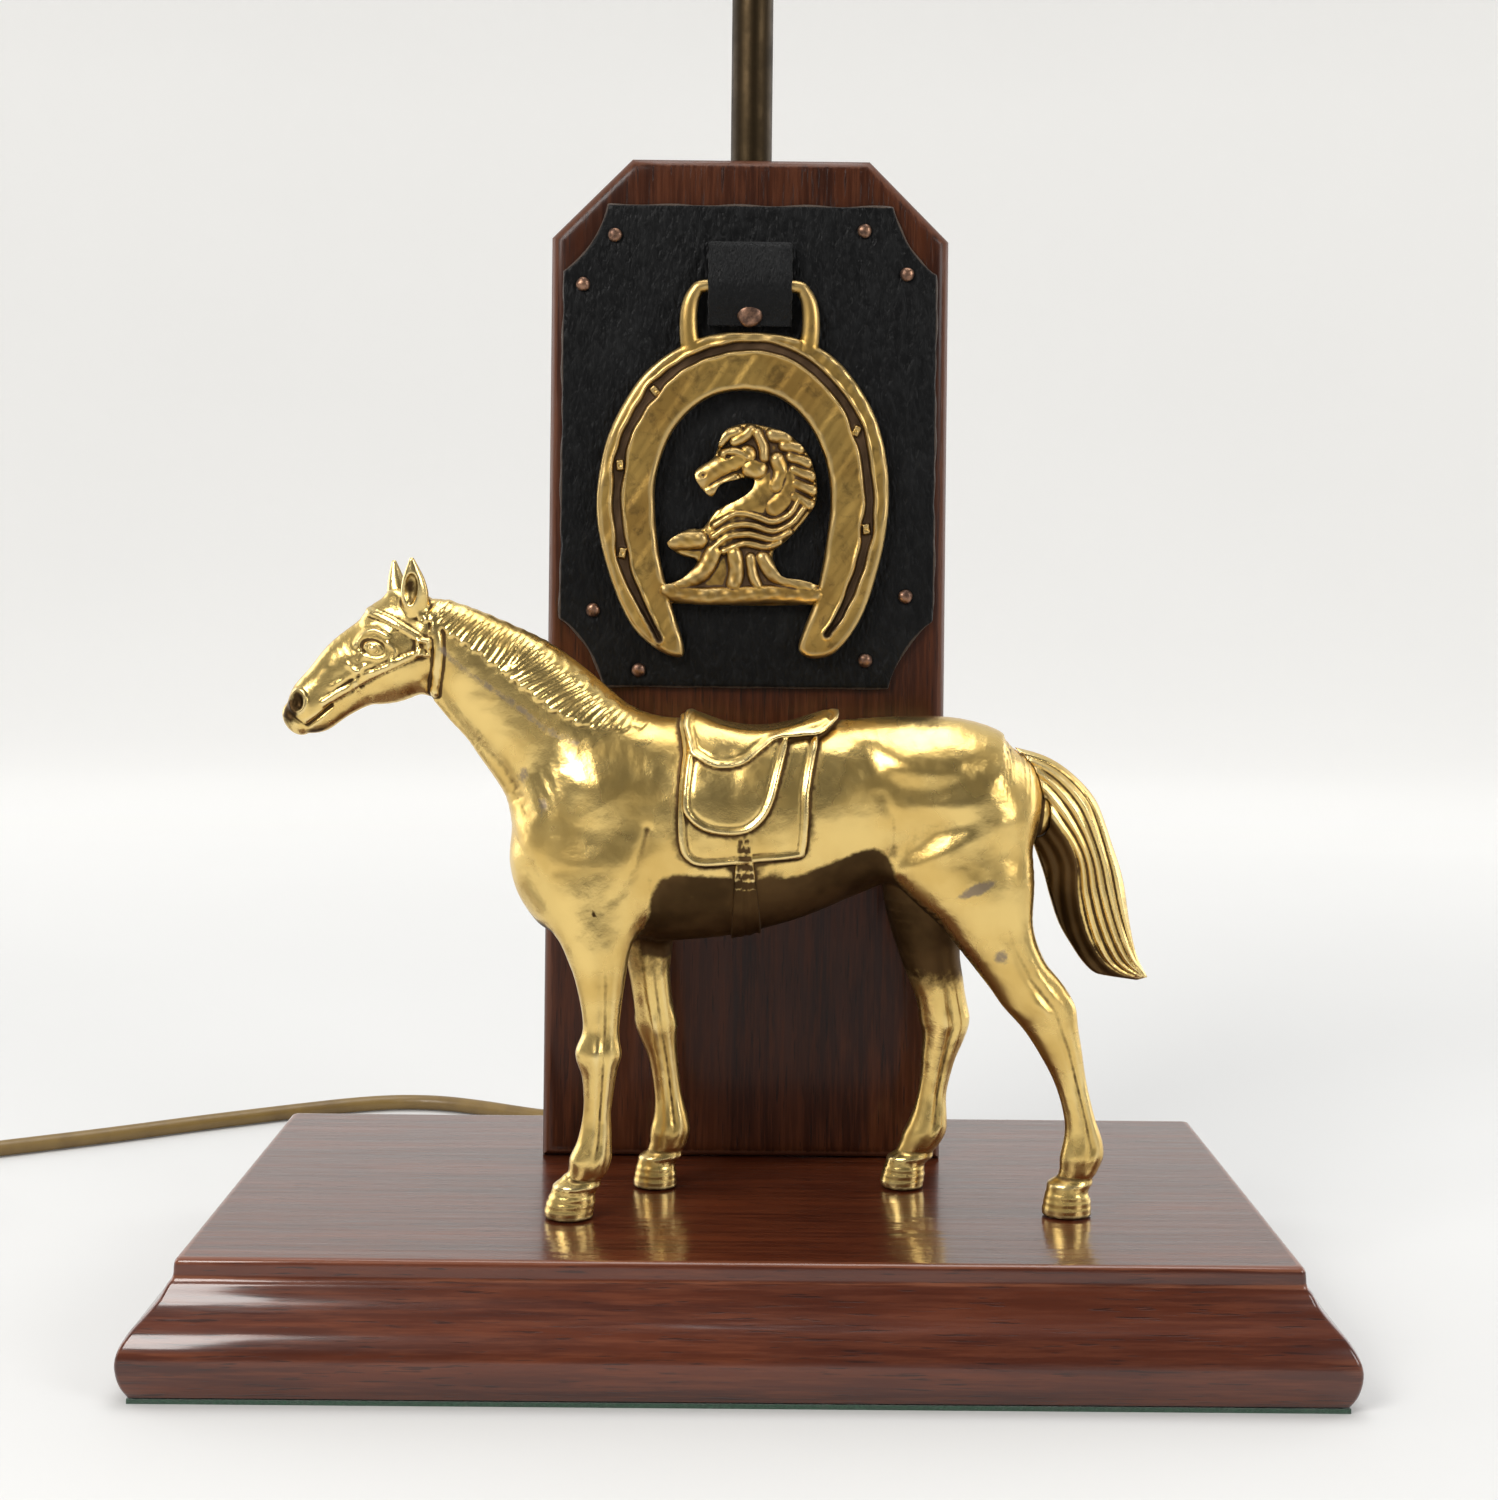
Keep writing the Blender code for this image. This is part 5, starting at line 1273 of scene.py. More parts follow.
TRUNK = [
    (-57.0, -19, 93.0, 8.0, 8.0), (-53.0, -19, 95.5, 17.0, 12.5), (-44.0, -19, 100.5, 26.5, 16.5),
    (-30.0, -19, 104.8, 31.2, 18.0), (-10.0, -19, 106.0, 31.0, 19.5), (8.0, -19, 108.3, 29.0, 20.0),
    (26.0, -19, 112.0, 25.3, 19.0), (42.0, -19, 115.3, 22.6, 18.5), (58.0, -19, 114.8, 23.0, 19.5),
    (70.0, -19, 112.0, 21.0, 18.5), (79.0, -19, 111.5, 15.0, 14.0), (83.5, -19, 111.0, 6.5, 7.0),
]
NECK = [
    (-90.0, -19, 161.0, 10.5, 7.0), (-84.0, -19, 156.2, 13.3, 7.6), (-74.0, -19, 148.5, 16.5, 8.6),
    (-63.5, -19, 140.5, 19.0, 10.2), (-51.0, -19, 127.5, 21.5, 12.6), (-41.0, -19, 113.0, 25.0, 16.0),
]
HEAD = [
    (-90.5, -19, 159.5, 12.6, 7.0), (-97.0, -19, 157.0, 14.6, 8.0), (-103.0, -19, 153.2, 13.2, 7.7),
    (-111.0, -19, 149.3, 10.9, 6.2), (-118.0, -19, 143.6, 8.8, 5.1), (-123.5, -19, 138.6, 7.8, 5.2),
    (-127.2, -19, 135.8, 5.2, 4.2),
]
NEAR_EAR = [
    (-93.3, -23.6, 166.0, 3.4, 2.6), (-93.5, -24.6, 171.0, 3.9, 2.4), (-93.9, -25.2, 175.8, 3.1, 1.9),
    (-94.3, -25.8, 181.4, 0.7, 0.7),
]
FAR_EAR = [
    (-99.4, -14.4, 167.0, 3.2, 2.6), (-100.0, -13.6, 171.5, 3.2, 2.2), (-100.8, -13.0, 176.0, 2.2, 1.6),
    (-101.4, -12.5, 180.6, 0.7, 0.7),
]
NEAR_FORE = [
    (-41.0, -28.0, 96.0, 13.5, 9.0), (-41.0, -31.5, 80.0, 11.0, 8.0), (-39.7, -33.5, 66.0, 7.1, 5.9),
    (-39.2, -35.0, 53.0, 5.0, 4.6), (-39.8, -35.5, 45.0, 5.9, 5.0), (-39.6, -35.8, 38.5, 4.6, 4.2),
    (-40.0, -36.0, 29.5, 3.8, 3.1), (-40.6, -36.0, 21.0, 4.7, 4.0), (-42.0, -36.0, 15.0, 5.3, 4.4),
    (-43.8, -36.0, 10.5, 4.6, 4.0), (-45.6, -36.0, 7.5, 5.9, 4.8), (-47.2, -36.0, 3.0, 6.6, 5.5),
    (-47.6, -36.0, 1.0, 6.8, 5.7),
]
FAR_FORE = [
    (-30.0, -11.0, 92.0, 11.0, 8.0), (-28.0, -9.0, 75.0, 8.0, 7.0), (-27.0, -7.5, 62.0, 5.9, 5.5),
    (-24.9, -6.5, 47.0, 5.5, 4.9), (-23.0, -6.0, 38.0, 4.2, 3.8), (-21.4, -6.0, 27.0, 3.9, 3.2),
    (-20.6, -6.0, 18.5, 5.2, 4.2), (-21.4, -6.0, 13.0, 5.2, 4.3), (-23.0, -6.0, 9.5, 4.6, 4.0),
    (-24.4, -6.0, 6.0, 5.8, 4.8), (-25.0, -6.0, 1.0, 6.3, 5.3),
]
NEAR_HIND = [
    (60.0, -26.5, 103.0, 22.0, 12.5), (66.0, -28.5, 90.0, 16.2, 11.0), (71.0, -29.5, 77.0, 10.6, 8.4),
    (77.0, -30.0, 66.5, 8.4, 6.4), (84.0, -30.0, 57.5, 8.1, 5.7), (88.5, -30.0, 47.0, 6.0, 4.7),
    (91.7, -30.0, 37.0, 4.3, 3.5), (94.2, -30.0, 27.0, 4.2, 3.5), (95.2, -30.0, 19.5, 5.6, 4.3),
    (94.2, -30.0, 14.0, 5.3, 4.3), (92.8, -30.0, 10.0, 4.7, 4.0), (91.4, -30.0, 6.5, 6.2, 5.0),
    (90.8, -30.0, 1.0, 6.9, 5.5),
]
FAR_HIND = [
    (57.0, -12.0, 100.0, 20.0, 12.0), (53.5, -9.0, 84.0, 13.3, 9.5), (54.0, -6.5, 70.0, 9.0, 7.4),
    (57.0, -5.2, 58.0, 7.3, 5.9), (58.7, -4.6, 48.0, 6.8, 5.3), (57.0, -4.4, 38.0, 4.9, 4.1),
    (55.4, -4.4, 28.0, 4.1, 3.4), (54.2, -4.4, 19.0, 5.4, 4.3), (51.6, -4.4, 13.0, 5.2, 4.2),
    (49.4, -4.4, 9.5, 4.7, 4.0), (47.8, -4.4, 6.0, 5.9, 4.8), (46.6, -4.4, 1.0, 6.3, 5.3),
]
SADDLE_SEAT = [
    (-14.6, -19, 133.9, 4.4, 7.5), (-8.0, -19, 133.6, 4.4, 9.0), (2.0, -19, 133.2, 4.5, 11.5),
    (12.0, -19, 133.8, 4.6, 13.0), (19.0, -19, 135.2, 4.3, 12.0), (22.6, -19, 137.4, 2.2, 9.5),
]
TAIL_OUTER = [
    (73.0, 130.4), (82.0, 128.3), (87.5, 126.1), (92.6, 122.6), (97.7, 117.6), (100.8, 112.6),
    (104.4, 102.5), (107.6, 92.5), (109.7, 79.9), (111.8, 70.8), (115.0, 64.6),
]
TAIL_FOLD = [
    (75.0, 121.5), (81.0, 116.5), (85.0, 112.4), (88.4, 108.0), (91.8, 103.0), (94.0, 97.0), (94.3, 89.0),
    (96.1, 80.7), (99.2, 73.7), (103.3, 68.4), (108.4, 65.4), (115.0, 64.0),
]
TAIL_INNER = [
    (111.9, 63.7), (103.3, 64.9), (99.6, 65.9), (96.2, 69.1), (93.1, 73.6), (89.5, 79.7), (86.9, 87.2),
    (85.1, 93.7), (82.5, 101.0), (79.0, 110.0), (74.0, 118.0),
]
TAIL_THICKNESS = [(63.0, 1.0), (68.0, 2.4), (75.0, 4.2), (88.0, 5.8), (102.0, 6.2), (115.0, 5.6),
                  (131.0, 4.0)]
CREST_LINE = [
    (-97.5, 172.0), (-89.9, 172.8), (-80.5, 169.2), (-70.0, 165.0), (-60.0, 160.6), (-51.0, 153.0),
    (-43.1, 146.3), (-33.6, 140.5), (-24.0, 137.4), (-16.8, 136.1),
]
MANE_LOW = [
    (-92.0, 164.5), (-86.5, 161.5), (-79.5, 157.5), (-72.5, 152.5), (-65.5, 147.5), (-57.5, 141.5),
    (-49.0, 136.5), (-38.0, 134.0), (-24.0, 135.5),
]
CLOTH = [
    (-15.8, 141.0), (-17.4, 128.0), (-18.4, 117.0), (-18.2, 104.5), (-16.0, 99.3), (-10.8, 97.4),
    (3.0, 98.8), (14.0, 99.9), (16.8, 102.5), (17.6, 118.0), (17.8, 141.0),
]
FLAP = [
    (-14.5, 141.0), (-16.2, 128.0), (-17.3, 115.5), (-15.8, 111.0), (-11.5, 107.7), (-5.5, 106.5),
    (0.6, 107.2), (5.0, 110.6), (7.6, 115.5), (9.5, 122.5), (11.9, 133.0), (12.0, 141.0),
]
SKIRT = [
    (-14.0, 141.0), (-15.8, 130.0), (-12.6, 126.6), (-7.3, 124.6), (-0.5, 125.8), (4.8, 129.8), (9.0, 132.6),
    (15.0, 133.2), (22.0, 134.6), (24.0, 141.0),
]
# Outline of the dark belly: patina and painted shade under the trunk.
BELLY_SHADE_AND_PATINA = [
    (-26.0, 66), (-26.5, 84), (-25.4, 90.5), (-21, 95.0), (-7, 95.0), (11, 94.6), (23, 98.6), (33, 102.4),
    (38, 102.0), (42, 96), (41, 84), (36, 66),
]
# Dark nostril, lips and chin: patina and painted shade in the nostril and under the mouth.
MUZZLE_SHADE_AND_PATINA = [(-128.4, 138.6, 3.0, 5.6, -15), (-122.5, 131.0, 6.5, 2.4, 25), (-126.5, 140.9, 2.6, 3.6, 0)]
NECK_BAND = [(-85.5, 156.0), (-78.5, 150.0), (-71.0, 145.0), (-63.0, 140.0), (-56.0, 134.5), (-47.0, 130.5)]
# Patches as (X, height, half-lengths, turn, strength), and spots as (X, height, radius).
WORN_PATCHES = [
    (64, 92, 7, 2, 20, 0.9), (71, 73, 3, 3, 0, 0.7), (-62, 121, 3, 4, 0, 0.6), (-56, 113, 2.5, 4, 0, 0.6),
    (-52, 133, 3, 2.5, 0, 0.5),
]
DARK_SPOTS = [(-41, 84, 0.9), (8.2, 91.7, 5.0)]
EYE = (-104.8, 156.2)
HOOF_HEIGHT, SOLE_GAP = 9.0, 0.35
GIRTH = [(-1.9, 109.0), (-3.0, 88.0), (-3.6, 72.0), (5.2, 72.0), (3.8, 88.0), (0.9, 109.0)]


def body_relief(x, z):
    """Muscles, hollows and harness of the trunk, neck and head, outwards; z is the height above the base."""
    rises = [(-43, 120, 8, 6.5, 1.1), (-37, 104, 8, 8, 0.8), (-52, 128, 6, 6, 0.4),
             (43.5, 125.5, 6.5, 4.6, 0.9), (54.5, 125.5, 7, 4.4, 0.6), (63, 113, 11, 12, 0.9),
             (49, 91, 6, 6, 0.8),
             (70, 124, 7, 6, 0.6), (-99, 147.5, 6.5, 6, 0.9), (-91, 149, 5, 5, 0.4),
             (-108, 153.5, 3.4, 1.6, 0.35),
             (-75, 152, 8, 5, 0.3), (27, 121, 7, 8, 0.3), (76, 106, 5, 10, 0.5)]
    dips = [(-48, 108.5, 5.5, 8, 0.9), (34, 112, 5, 10, 1.2), (54.5, 108.5, 9, 4.6, 1.1),
            (-31, 115, 5, 8, 0.5), (72, 128.5, 4.5, 3, 0.4),
            (-112, 146.5, 4, 2.4, 0.5), (-84, 149, 3, 6, 0.5), (-104, 164, 4, 2.6, 0.5),
            (48, 101, 5, 5, 0.5), (-27, 92, 3, 5, 0.5)]
    total = np.zeros(np.broadcast(x, z).shape, np.float32)
    for cx, cz, rx, rz, rise in rises:
        total = total + rise * lump(x, z, cx, cz, rx, rz)
    for cx, cz, rx, rz, dip in dips:
        total = total - dip * lump(x, z, cx, cz, rx, rz)
    lines = [([(-89, 147), (-80, 135), (-69, 124), (-60, 111)], 2.2, -0.9),           # jugular groove
             ([(33, 128.5), (40, 121.5), (48, 118.5), (60, 120.5), (67, 125)], 3.6, -0.75),
             ([(-36, 88), (-30, 97), (-27, 107)], 1.6, -0.7),                          # elbow
             ([(38, 117), (41, 110), (41, 101)], 1.8, -0.45),
             ([(66, 106), (74, 98), (79, 86)], 2.4, -0.4),
             ([(-105.5, 151.6), (-111, 149), (-116.5, 145)], 0.9, 0.35),               # facial crest
             ([(-123.6, 134.2), (-120.5, 136.6), (-116.8, 139.8)], 0.55, -0.9),        # mouth
             ([(-128.5, 137.2), (-124.5, 134.3)], 0.6, -0.5),
             ([(-107.5, 151), (-110, 147.5), (-109.4, 144.5)], 0.8, 0.5),              # veins
             ([(-110.4, 148.4), (-114.5, 146.0)], 0.6, 0.4),
             ([(-112.0, 151.4), (-108.6, 149.0), (-105.6, 149.6)], 0.7, 0.4)]
    for points, width, rise in lines:
        total = total + rise * groove(x, z, points, width)
    return total + harness_relief(x, z) + eye_relief(x, z)


def eye_relief(x, z):
    """Socket, lids and brow round the eye, and the rims of the nostril."""
    ex, ez = EYE
    ring = np.hypot((x - ex) / 1.5, z - ez + 0.16 * (x - ex))
    upper = smoothstep(z - ez - 0.2 * (x - ex), -1.2, 1.2)
    lids = (0.22 + 0.36 * upper) * np.exp(-((ring - 1.5) / 0.42) ** 2)
    lids = lids + (0.10 + 0.18 * (1 - upper)) * np.exp(-((ring - 2.9) / 0.5) ** 2)
    socket = -(0.16 + 0.28 * upper) * np.exp(-((ring - 2.25) / 0.45) ** 2)
    socket = socket - 0.35 * groove(x, z, [(-107.0, 155.6), (-108.4, 154.6), (-109.2, 153.2)], 0.5)
    brow = 0.60 * groove(x, z, [(-110.0, 157.0), (-108.2, 160.0), (-104.6, 161.4), (-100.6, 159.6)], 0.8)
    brow = brow + 0.25 * groove(x, z, [(-107.6, 162.6), (-103.6, 163.6), (-99.6, 161.8)], 0.9)
    brow = brow + 0.5 * groove(x, z, [(-100.6, 157.8), (-98.4, 155.4), (-99.6, 152.8)], 0.7)
    nose = 0.6 * np.exp(-((np.hypot((x + 126.4) / 0.75, z - 140.9) - 3.3) / 0.6) ** 2)
    return lids + socket + brow + nose


def harness_relief(x, z):
    """Bridle straps and their buckle, a little raised, with a groove along each edge."""
    straps = [[(-118.8, 140.6), (-113.0, 144.2), (-106.0, 148.2), (-98.0, 152.2), (-90.1, 156.4),
               (-87.5, 163.0), (-87.4, 170.5)],
              [(-107.0, 166.6), (-100.0, 164.0), (-93.5, 160.2), (-88.8, 157.2)],
              [(-87.8, 166.0), (-86.4, 155.0), (-88.0, 143.6)]]
    total = np.zeros(np.broadcast(x, z).shape, np.float32)
    for points in straps:
        gap, _ = polyline_distance(x, z, smooth_path(points, 5))
        strap = smoothstep(1.35 - gap, 0.0, 0.5)
        total = np.maximum(total, 0.68 * strap - 0.20 * np.exp(-((gap - 0.8) / 0.2) ** 2))
        total = total - 0.30 * np.exp(-((gap - 1.75) / 0.4) ** 2)
    u, v = np.abs(x + 90.6) - 1.6, np.abs(z - 156.4) - 2.0
    buckle = np.maximum(u, v)
    return total + 0.75 * np.exp(-(buckle / 0.5) ** 2) * (buckle < 1.2)


def mane_relief(x, z):
    """Hair falling from the crest in fine, slightly wavy locks."""
    crest = smooth_path(CREST_LINE, 5)
    down, along = polyline_distance(x, z, crest)
    mane = outline_distance(x, z, crest + smooth_path(MANE_LOW, 4)[::-1])
    scallop = 0.5 * np.sin(along * 2 * pi / 4.3 + 0.9 * np.sin(along * 0.31))
    cover = smoothstep(-mane + scallop, -0.5, 0.9)
    wave = along + 0.30 * down + 0.30 * np.sin(down * 0.5 + along * 0.17)
    strands = np.abs(np.sin(wave * pi / 1.9)) ** 0.8
    locks = np.sin(wave * 2 * pi / 6.1 + 0.8 + 0.6 * np.sin(along * 0.23))
    return cover * (0.30 + 0.34 * strands * smoothstep(down, 0.8, 3.0) + 0.07 * locks)


def hoof_relief(up):
    """Ring of the coronet above the hoof wall, with faint growth lines, at a height above the base."""
    ring = 0.45 * np.exp(-((up - HOOF_HEIGHT) / 0.8) ** 2)
    ring = ring - 0.35 * np.exp(-((up - HOOF_HEIGHT - 1.9) / 0.8) ** 2)
    return ring + 0.08 * np.sin(up * 3.4) * (up < HOOF_HEIGHT - 1)


def leg_relief(stations, knee, tendon):
    """Joints and tendons of one leg: knee is (height, rise), tendon where across the leg its groove runs."""
    middles, _, heights, halves, _ = zip(*reversed(stations))

    def relief(x, z, side):
        up = z - TOP
        middle, half = np.interp(up, heights, middles), np.interp(up, heights, halves)
        across = (x - middle) / half
        below = smoothstep(up, 13.0, 20.0) * smoothstep(knee[0] + 30.0 - up, 0.0, 10.0)
        cord = 0.22 * np.exp(-((across - tendon - 0.42) / 0.2) ** 2)
        cord = cord - 0.55 * np.exp(-((across - tendon) / 0.20) ** 2)
        joint = knee[1] * np.exp(-((up - knee[0]) / 3.4) ** 2) * (0.55 + 0.45 * np.cos(across * 5.2))
        fetlock = 0.35 * np.exp(-((up - 16.5) / 2.6) ** 2)
        return hoof_relief(up) + below * cord + joint + fetlock
    return relief


def raised(stations):
    return [(x, y, TOP + z, a, b) for x, y, z, a, b in stations]


def saddle_layers(horse, where, trunk):
    """Cloth, girth, flap and skirt laid over the trunk, each with a bead along its edge."""
    x = horse.x[where[0]][:, None]
    z = horse.z[where[2]][None, :] - TOP
    layers = [(CLOTH, 1.15, 0.35, 0.9), (GIRTH, 1.0, 0.15, 0.5), (FLAP, 2.3, 0.40, 0.8),
              (SKIRT, 3.0, 0.35, 0.8)]
    for outline, thickness, bead, inset in layers:
        straight = outline is GIRTH
        edge = outline_distance(x, z, outline if straight else smooth_path(outline, 4, closed=True))
        rise = thickness + bead * np.exp(-((edge + inset) / 0.5) ** 2)
        rise = rise - 0.25 * np.exp(-((edge + inset + 1.4) / 0.5) ** 2)
        if straight:
            rise = rise + 0.4 * np.abs(np.sin((x - 0.4) * pi / (2.2 + 0.03 * (108 - z)))) - 0.2
        else:
            rise = rise + 0.10 * np.sin(x * 0.35 + z * 0.21)
        layer = np.maximum(trunk - rise[:, None, :], edge[:, None, :])
        horse.join(where, layer, 0.35)


def make_horse():
    """One casting of trunk, neck, head, legs and ears, with the saddle laid over and the soles cut flat."""
    step = 0.46
    horse = Volume((-134.0, -45.0, TOP - 0.6), (103.5, 4.0, TOP + 184.0), step)
    horse_x, horse_z = horse.x[:, None], horse.z[None, :] - TOP
    body = body_relief(horse_x, horse_z)
    mane = mane_relief(horse_x, horse_z)
    body_and_mane = body * (1 - 0.75 * np.clip(mane * 2, 0, 1)) + mane

    def on_grid(values):
        def relief(x, z, side):
            i = int(round((float(x.ravel()[0]) - float(horse.x[0])) / step))
            k = int(round((float(z.ravel()[0]) - float(horse.z[0])) / step))
            return values[i:i + x.shape[0], k:k + z.shape[1]]
        return relief

    where, trunk = horse.limb(raised(TRUNK), blend=0.0, relief=on_grid(body))
    horse.limb(raised(NECK), blend=8.0, relief=on_grid(body_and_mane))
    horse.limb(raised(HEAD), blend=3.0, relief=on_grid(body_and_mane), cap=0.9)
    horse.ball((-53.5, HORSE_Y, TOP + 103.0), (9.0, 13.5, 18.0), 10.0, turn=-20)
    horse.ball((-50.5, HORSE_Y - 3.0, TOP + 88.0), (7.5, 11.0, 11.0), 9.0, turn=-30)
    horse.limb(raised(NEAR_FORE), blend=9.0, relief=leg_relief(NEAR_FORE, (45.5, 0.55), 0.25))
    horse.limb(raised(FAR_FORE), blend=6.0, relief=leg_relief(FAR_FORE, (47.5, 0.55), 0.25))
    horse.limb(raised(NEAR_HIND), blend=4.5, relief=leg_relief(NEAR_HIND, (58.0, 0.5), 0.30))
    horse.limb(raised(FAR_HIND), blend=4.5, relief=leg_relief(FAR_HIND, (49.0, 0.5), 0.30))
    for ear, side in ((NEAR_EAR, -1), (FAR_EAR, 1)):
        horse.limb(raised(ear), blend=1.0)
        x, y, z = ear[1][:3]
        horse.ball((x - 0.9, y + side * 2.0, TOP + z + 1.8), (1.9, 1.6, 4.4), 0.4, cut=True, turn=-4)
    horse.ball((-98.5, -19.0, TOP + 169.5), (4.2, 3.0, 2.6), 2.5, turn=-35)              # forelock
    saddle_layers(horse, where, trunk)
    horse.limb(raised(SADDLE_SEAT), blend=1.2)
    horse.ball((3.0, HORSE_Y, TOP + 152.0), (24.0, 60.0, 17.6), 2.5, cut=True)          # dip of the seat
    for side in (-1, 1):
        horse.ball((EYE[0], HORSE_Y + side * 7.0, TOP + EYE[1]), (1.5, 1.3, 1.15), 0.2)
        horse.ball((-126.5, HORSE_Y + side * 5.2, TOP + 140.9), (1.7, 2.2, 2.5), 0.5, cut=True, turn=14)
    where, _, _, z = horse.part(horse.low, (100, 10, TOP + 4))
    horse.field[where] = np.maximum(horse.field[where], TOP + SOLE_GAP - z)
    volume_piece("brass_horse", horse, HORSE_METAL, "lamp", "polished_brass", ("horse_body",),
                 paint=horse_patina_and_shade)


def horse_patina_and_shade(at, slope):
    """Where the horse is left brown, where shade is painted on its belly, inner, far and downward faces and
    hollows, and where its polish is rubbed grey, from points and their slopes.
    """
    x, y, z = at[:, 0], at[:, 1], at[:, 2] - TOP
    # dark belly: patina and painted shade under the trunk
    painted_shade_area = outline_distance(x, z, smooth_path(BELLY_SHADE_AND_PATINA, 4, closed=True))
    layers = [smoothstep(-painted_shade_area, -2.0, 2.5) * smoothstep(z, 62.0, 72.0)]
    # painted shade on the far side between the forelegs
    far_side = smoothstep(y - HORSE_Y, -1.0, 3.0)
    layers.append(0.9 * far_side * smoothstep(z, 60.0, 80.0) * (z < 95) * (x < -12) * (x > -42))
    # painted shade on the faces of the legs that turn towards each other
    near_inner_shade = smoothstep(slope[:, 1], 0.1, 0.7) * (0.45 + 0.55 * smoothstep(z, 45.0, 65.0))
    far_inner_shade = 0.6 * smoothstep(-slope[:, 1], 0.1, 0.7) * smoothstep(z, 52, 66)
    layers.append(0.85 * np.where(y < HORSE_Y, near_inner_shade, far_inner_shade) * (z < 92))
    # painted shade on faces turned downwards
    layers.append(0.9 * smoothstep(-slope[:, 2], 0.35, 0.8) * (z < 100) * (z > 60))
    # painted shade where the hooves meet the base
    layers.append(0.6 * smoothstep(2.2 - z, 0.0, 1.6))
    # painted shade on the far side of the hind quarters
    far_thigh_shade = smoothstep(z, 50.0, 68.0) * smoothstep(y - HORSE_Y, -4.0, 0.0) * (x > 30) * (z < 95)
    layers.append(0.8 * far_thigh_shade)
    layers.append(smoothstep(-88.0 - x, 0.0, 6.0) * (0.26 + 0.10 * np.sin(x * 0.5) * np.sin(z * 0.4)))
    off_middle = smoothstep(np.abs(y - HORSE_Y), 0.0, 2.5)
    # patina and painted shade in the nostril and under the mouth
    for place_and_size in MUZZLE_SHADE_AND_PATINA:
        layers.append(0.95 * lump(x, z, *place_and_size) * off_middle)
    # painted shade in the hollow of the ear
    layers.append(0.7 * lump(x, z, -94.6, 173.5, 2.4, 4.5) * (slope[:, 1] < 0.2))          # inside of the ear
    girth = smoothstep(-outline_distance(x, z, GIRTH), -0.4, 0.6) * (z < 106)
    layers.append(0.75 * girth)
    dull = np.max(layers, axis=0)
    webbing = girth * smoothstep(np.sin(2.5 * z), 0.1, 0.8) * smoothstep(z, 89.0, 91.0)
    dull = dull * (1 - 0.5 * webbing) * (1 - 0.28 * lump(x, z, -13.0, 89.5, 10.0, 4.0))
    for px, pz, radius in DARK_SPOTS:
        dull = np.maximum(dull, lump(x, z, px, pz, radius, radius))
    rubbed = [share * lump(x, z, px, pz, rx, rz, turn) for px, pz, rx, rz, turn, share in WORN_PATCHES]
    rubbed.append(0.55 * groove(x, z, NECK_BAND, 1.9))
    return {"dull": np.clip(dull, 0, 1), "worn": np.max(rubbed, axis=0) * (y < HORSE_Y)}


def make_tail():
    """A full tail of combed hair, hung clear of the buttocks and folded in on its inner side."""
    step = 0.36
    tail = Volume((72.0, -28.5, TOP + 60.0), (119.0, -9.5, TOP + 134.0), step)
    x, z = tail.x[:, None], tail.z[None, :] - TOP
    outer, fold = smooth_path(TAIL_OUTER, 5), smooth_path(TAIL_FOLD, 5)
    edge = outline_distance(x, z, outer + smooth_path(TAIL_INNER, 5))
    inside_fold = outline_distance(x, z, fold + smooth_path(TAIL_INNER, 5))
    to_outer, _ = polyline_distance(x, z, outer)
    to_fold, along = polyline_distance(x, z, fold)
    across = to_outer / (to_outer + to_fold + 1e-3)
    wave = across * 5.0 + 0.25 * np.sin(along * 0.11 + across * 3.0)
    strands = 0.85 * np.abs(np.sin(wave * pi)) ** 0.8 + 0.10 * np.sin(wave * 2 * pi * 2.0 + 1.0) - 0.5
    folded = smoothstep(-inside_fold, -0.3, 1.2)
    combed = 0.25 * np.sin(to_fold * 2.1 + 0.2 * np.sin(along * 0.2))
    relief = np.where(folded > 0.5, combed, strands * smoothstep(to_outer, 0.0, 1.5)
                      * smoothstep(-edge, 0.2, 2.0))
    half = np.interp(z, *zip(*TAIL_THICKNESS)) * (1.0 - 0.62 * folded * smoothstep(to_fold, 0.0, 7.0))
    rim = np.maximum(1.0 + edge / (1.35 * half), 0.0)
    across_y = (tail.y[None, :, None] - HORSE_Y) / half[:, None, :]
    lens = (np.sqrt(rim[:, None, :] ** 2 + across_y ** 2) - 1.0) * half[:, None, :]
    everywhere = tuple(slice(0, n) for n in tail.field.shape)
    nx, ny, nz = tail.field.shape
    tail.join(everywhere, lens - relief[:, None, :], 0.0)
    for stations in (TRUNK, NEAR_HIND[:4]):
        room = Volume(tail.low, (tail.x[-1], tail.y[-1], tail.z[-1]), step)
        room.limb(raised(stations), blend=0.0)
        tail.carve(everywhere, room.field[:nx, :ny, :nz] - 0.3, 0.2)

    def paint(at, slope):
        x, z = at[:, 0], at[:, 2] - TOP
        # painted shade on the folded inner side of the tail and on faces turned towards the back; the whole
        # tail is darkened a little as well
        painted_shade_area = smoothstep(-outline_distance(x, z, fold + smooth_path(TAIL_INNER, 5)), -0.6, 1.0)
        dull = np.maximum(painted_shade_area, 0.27) + 0.5 * smoothstep(slope[:, 1], 0.5, 1.0)
        return {"dull": np.clip(dull, 0, 1), "worn": np.zeros(len(at))}

    volume_piece("brass_tail", tail, HORSE_METAL, "lamp", "polished_brass", ("horse_tail",),
                 most_faces=90000, paint=paint)


# ---------------------------------------------------------------- tube, lampholder and bulb

TUBE_RADIUS, TUBE_BORE = 6.35, 4.9
TUBE_TOP = float(TUBE_HIGH[2])
HOLDER_BASE = TUBE_TOP - 10.0
BARREL_BASE = HOLDER_BASE + 17.0
BARREL_TOP = BARREL_BASE + 46.0
SWITCH_HEIGHT = BARREL_BASE + 7.0
INSULATOR_TOP = BARREL_BASE + 21.0
PLUNGER_TOP = INSULATOR_TOP + 3.2
CONTACT_SPREAD = 4.6


def above(base, profile):
    """A turned profile moved up by a height."""
    return [(radius, base + rise) for radius, rise in profile]


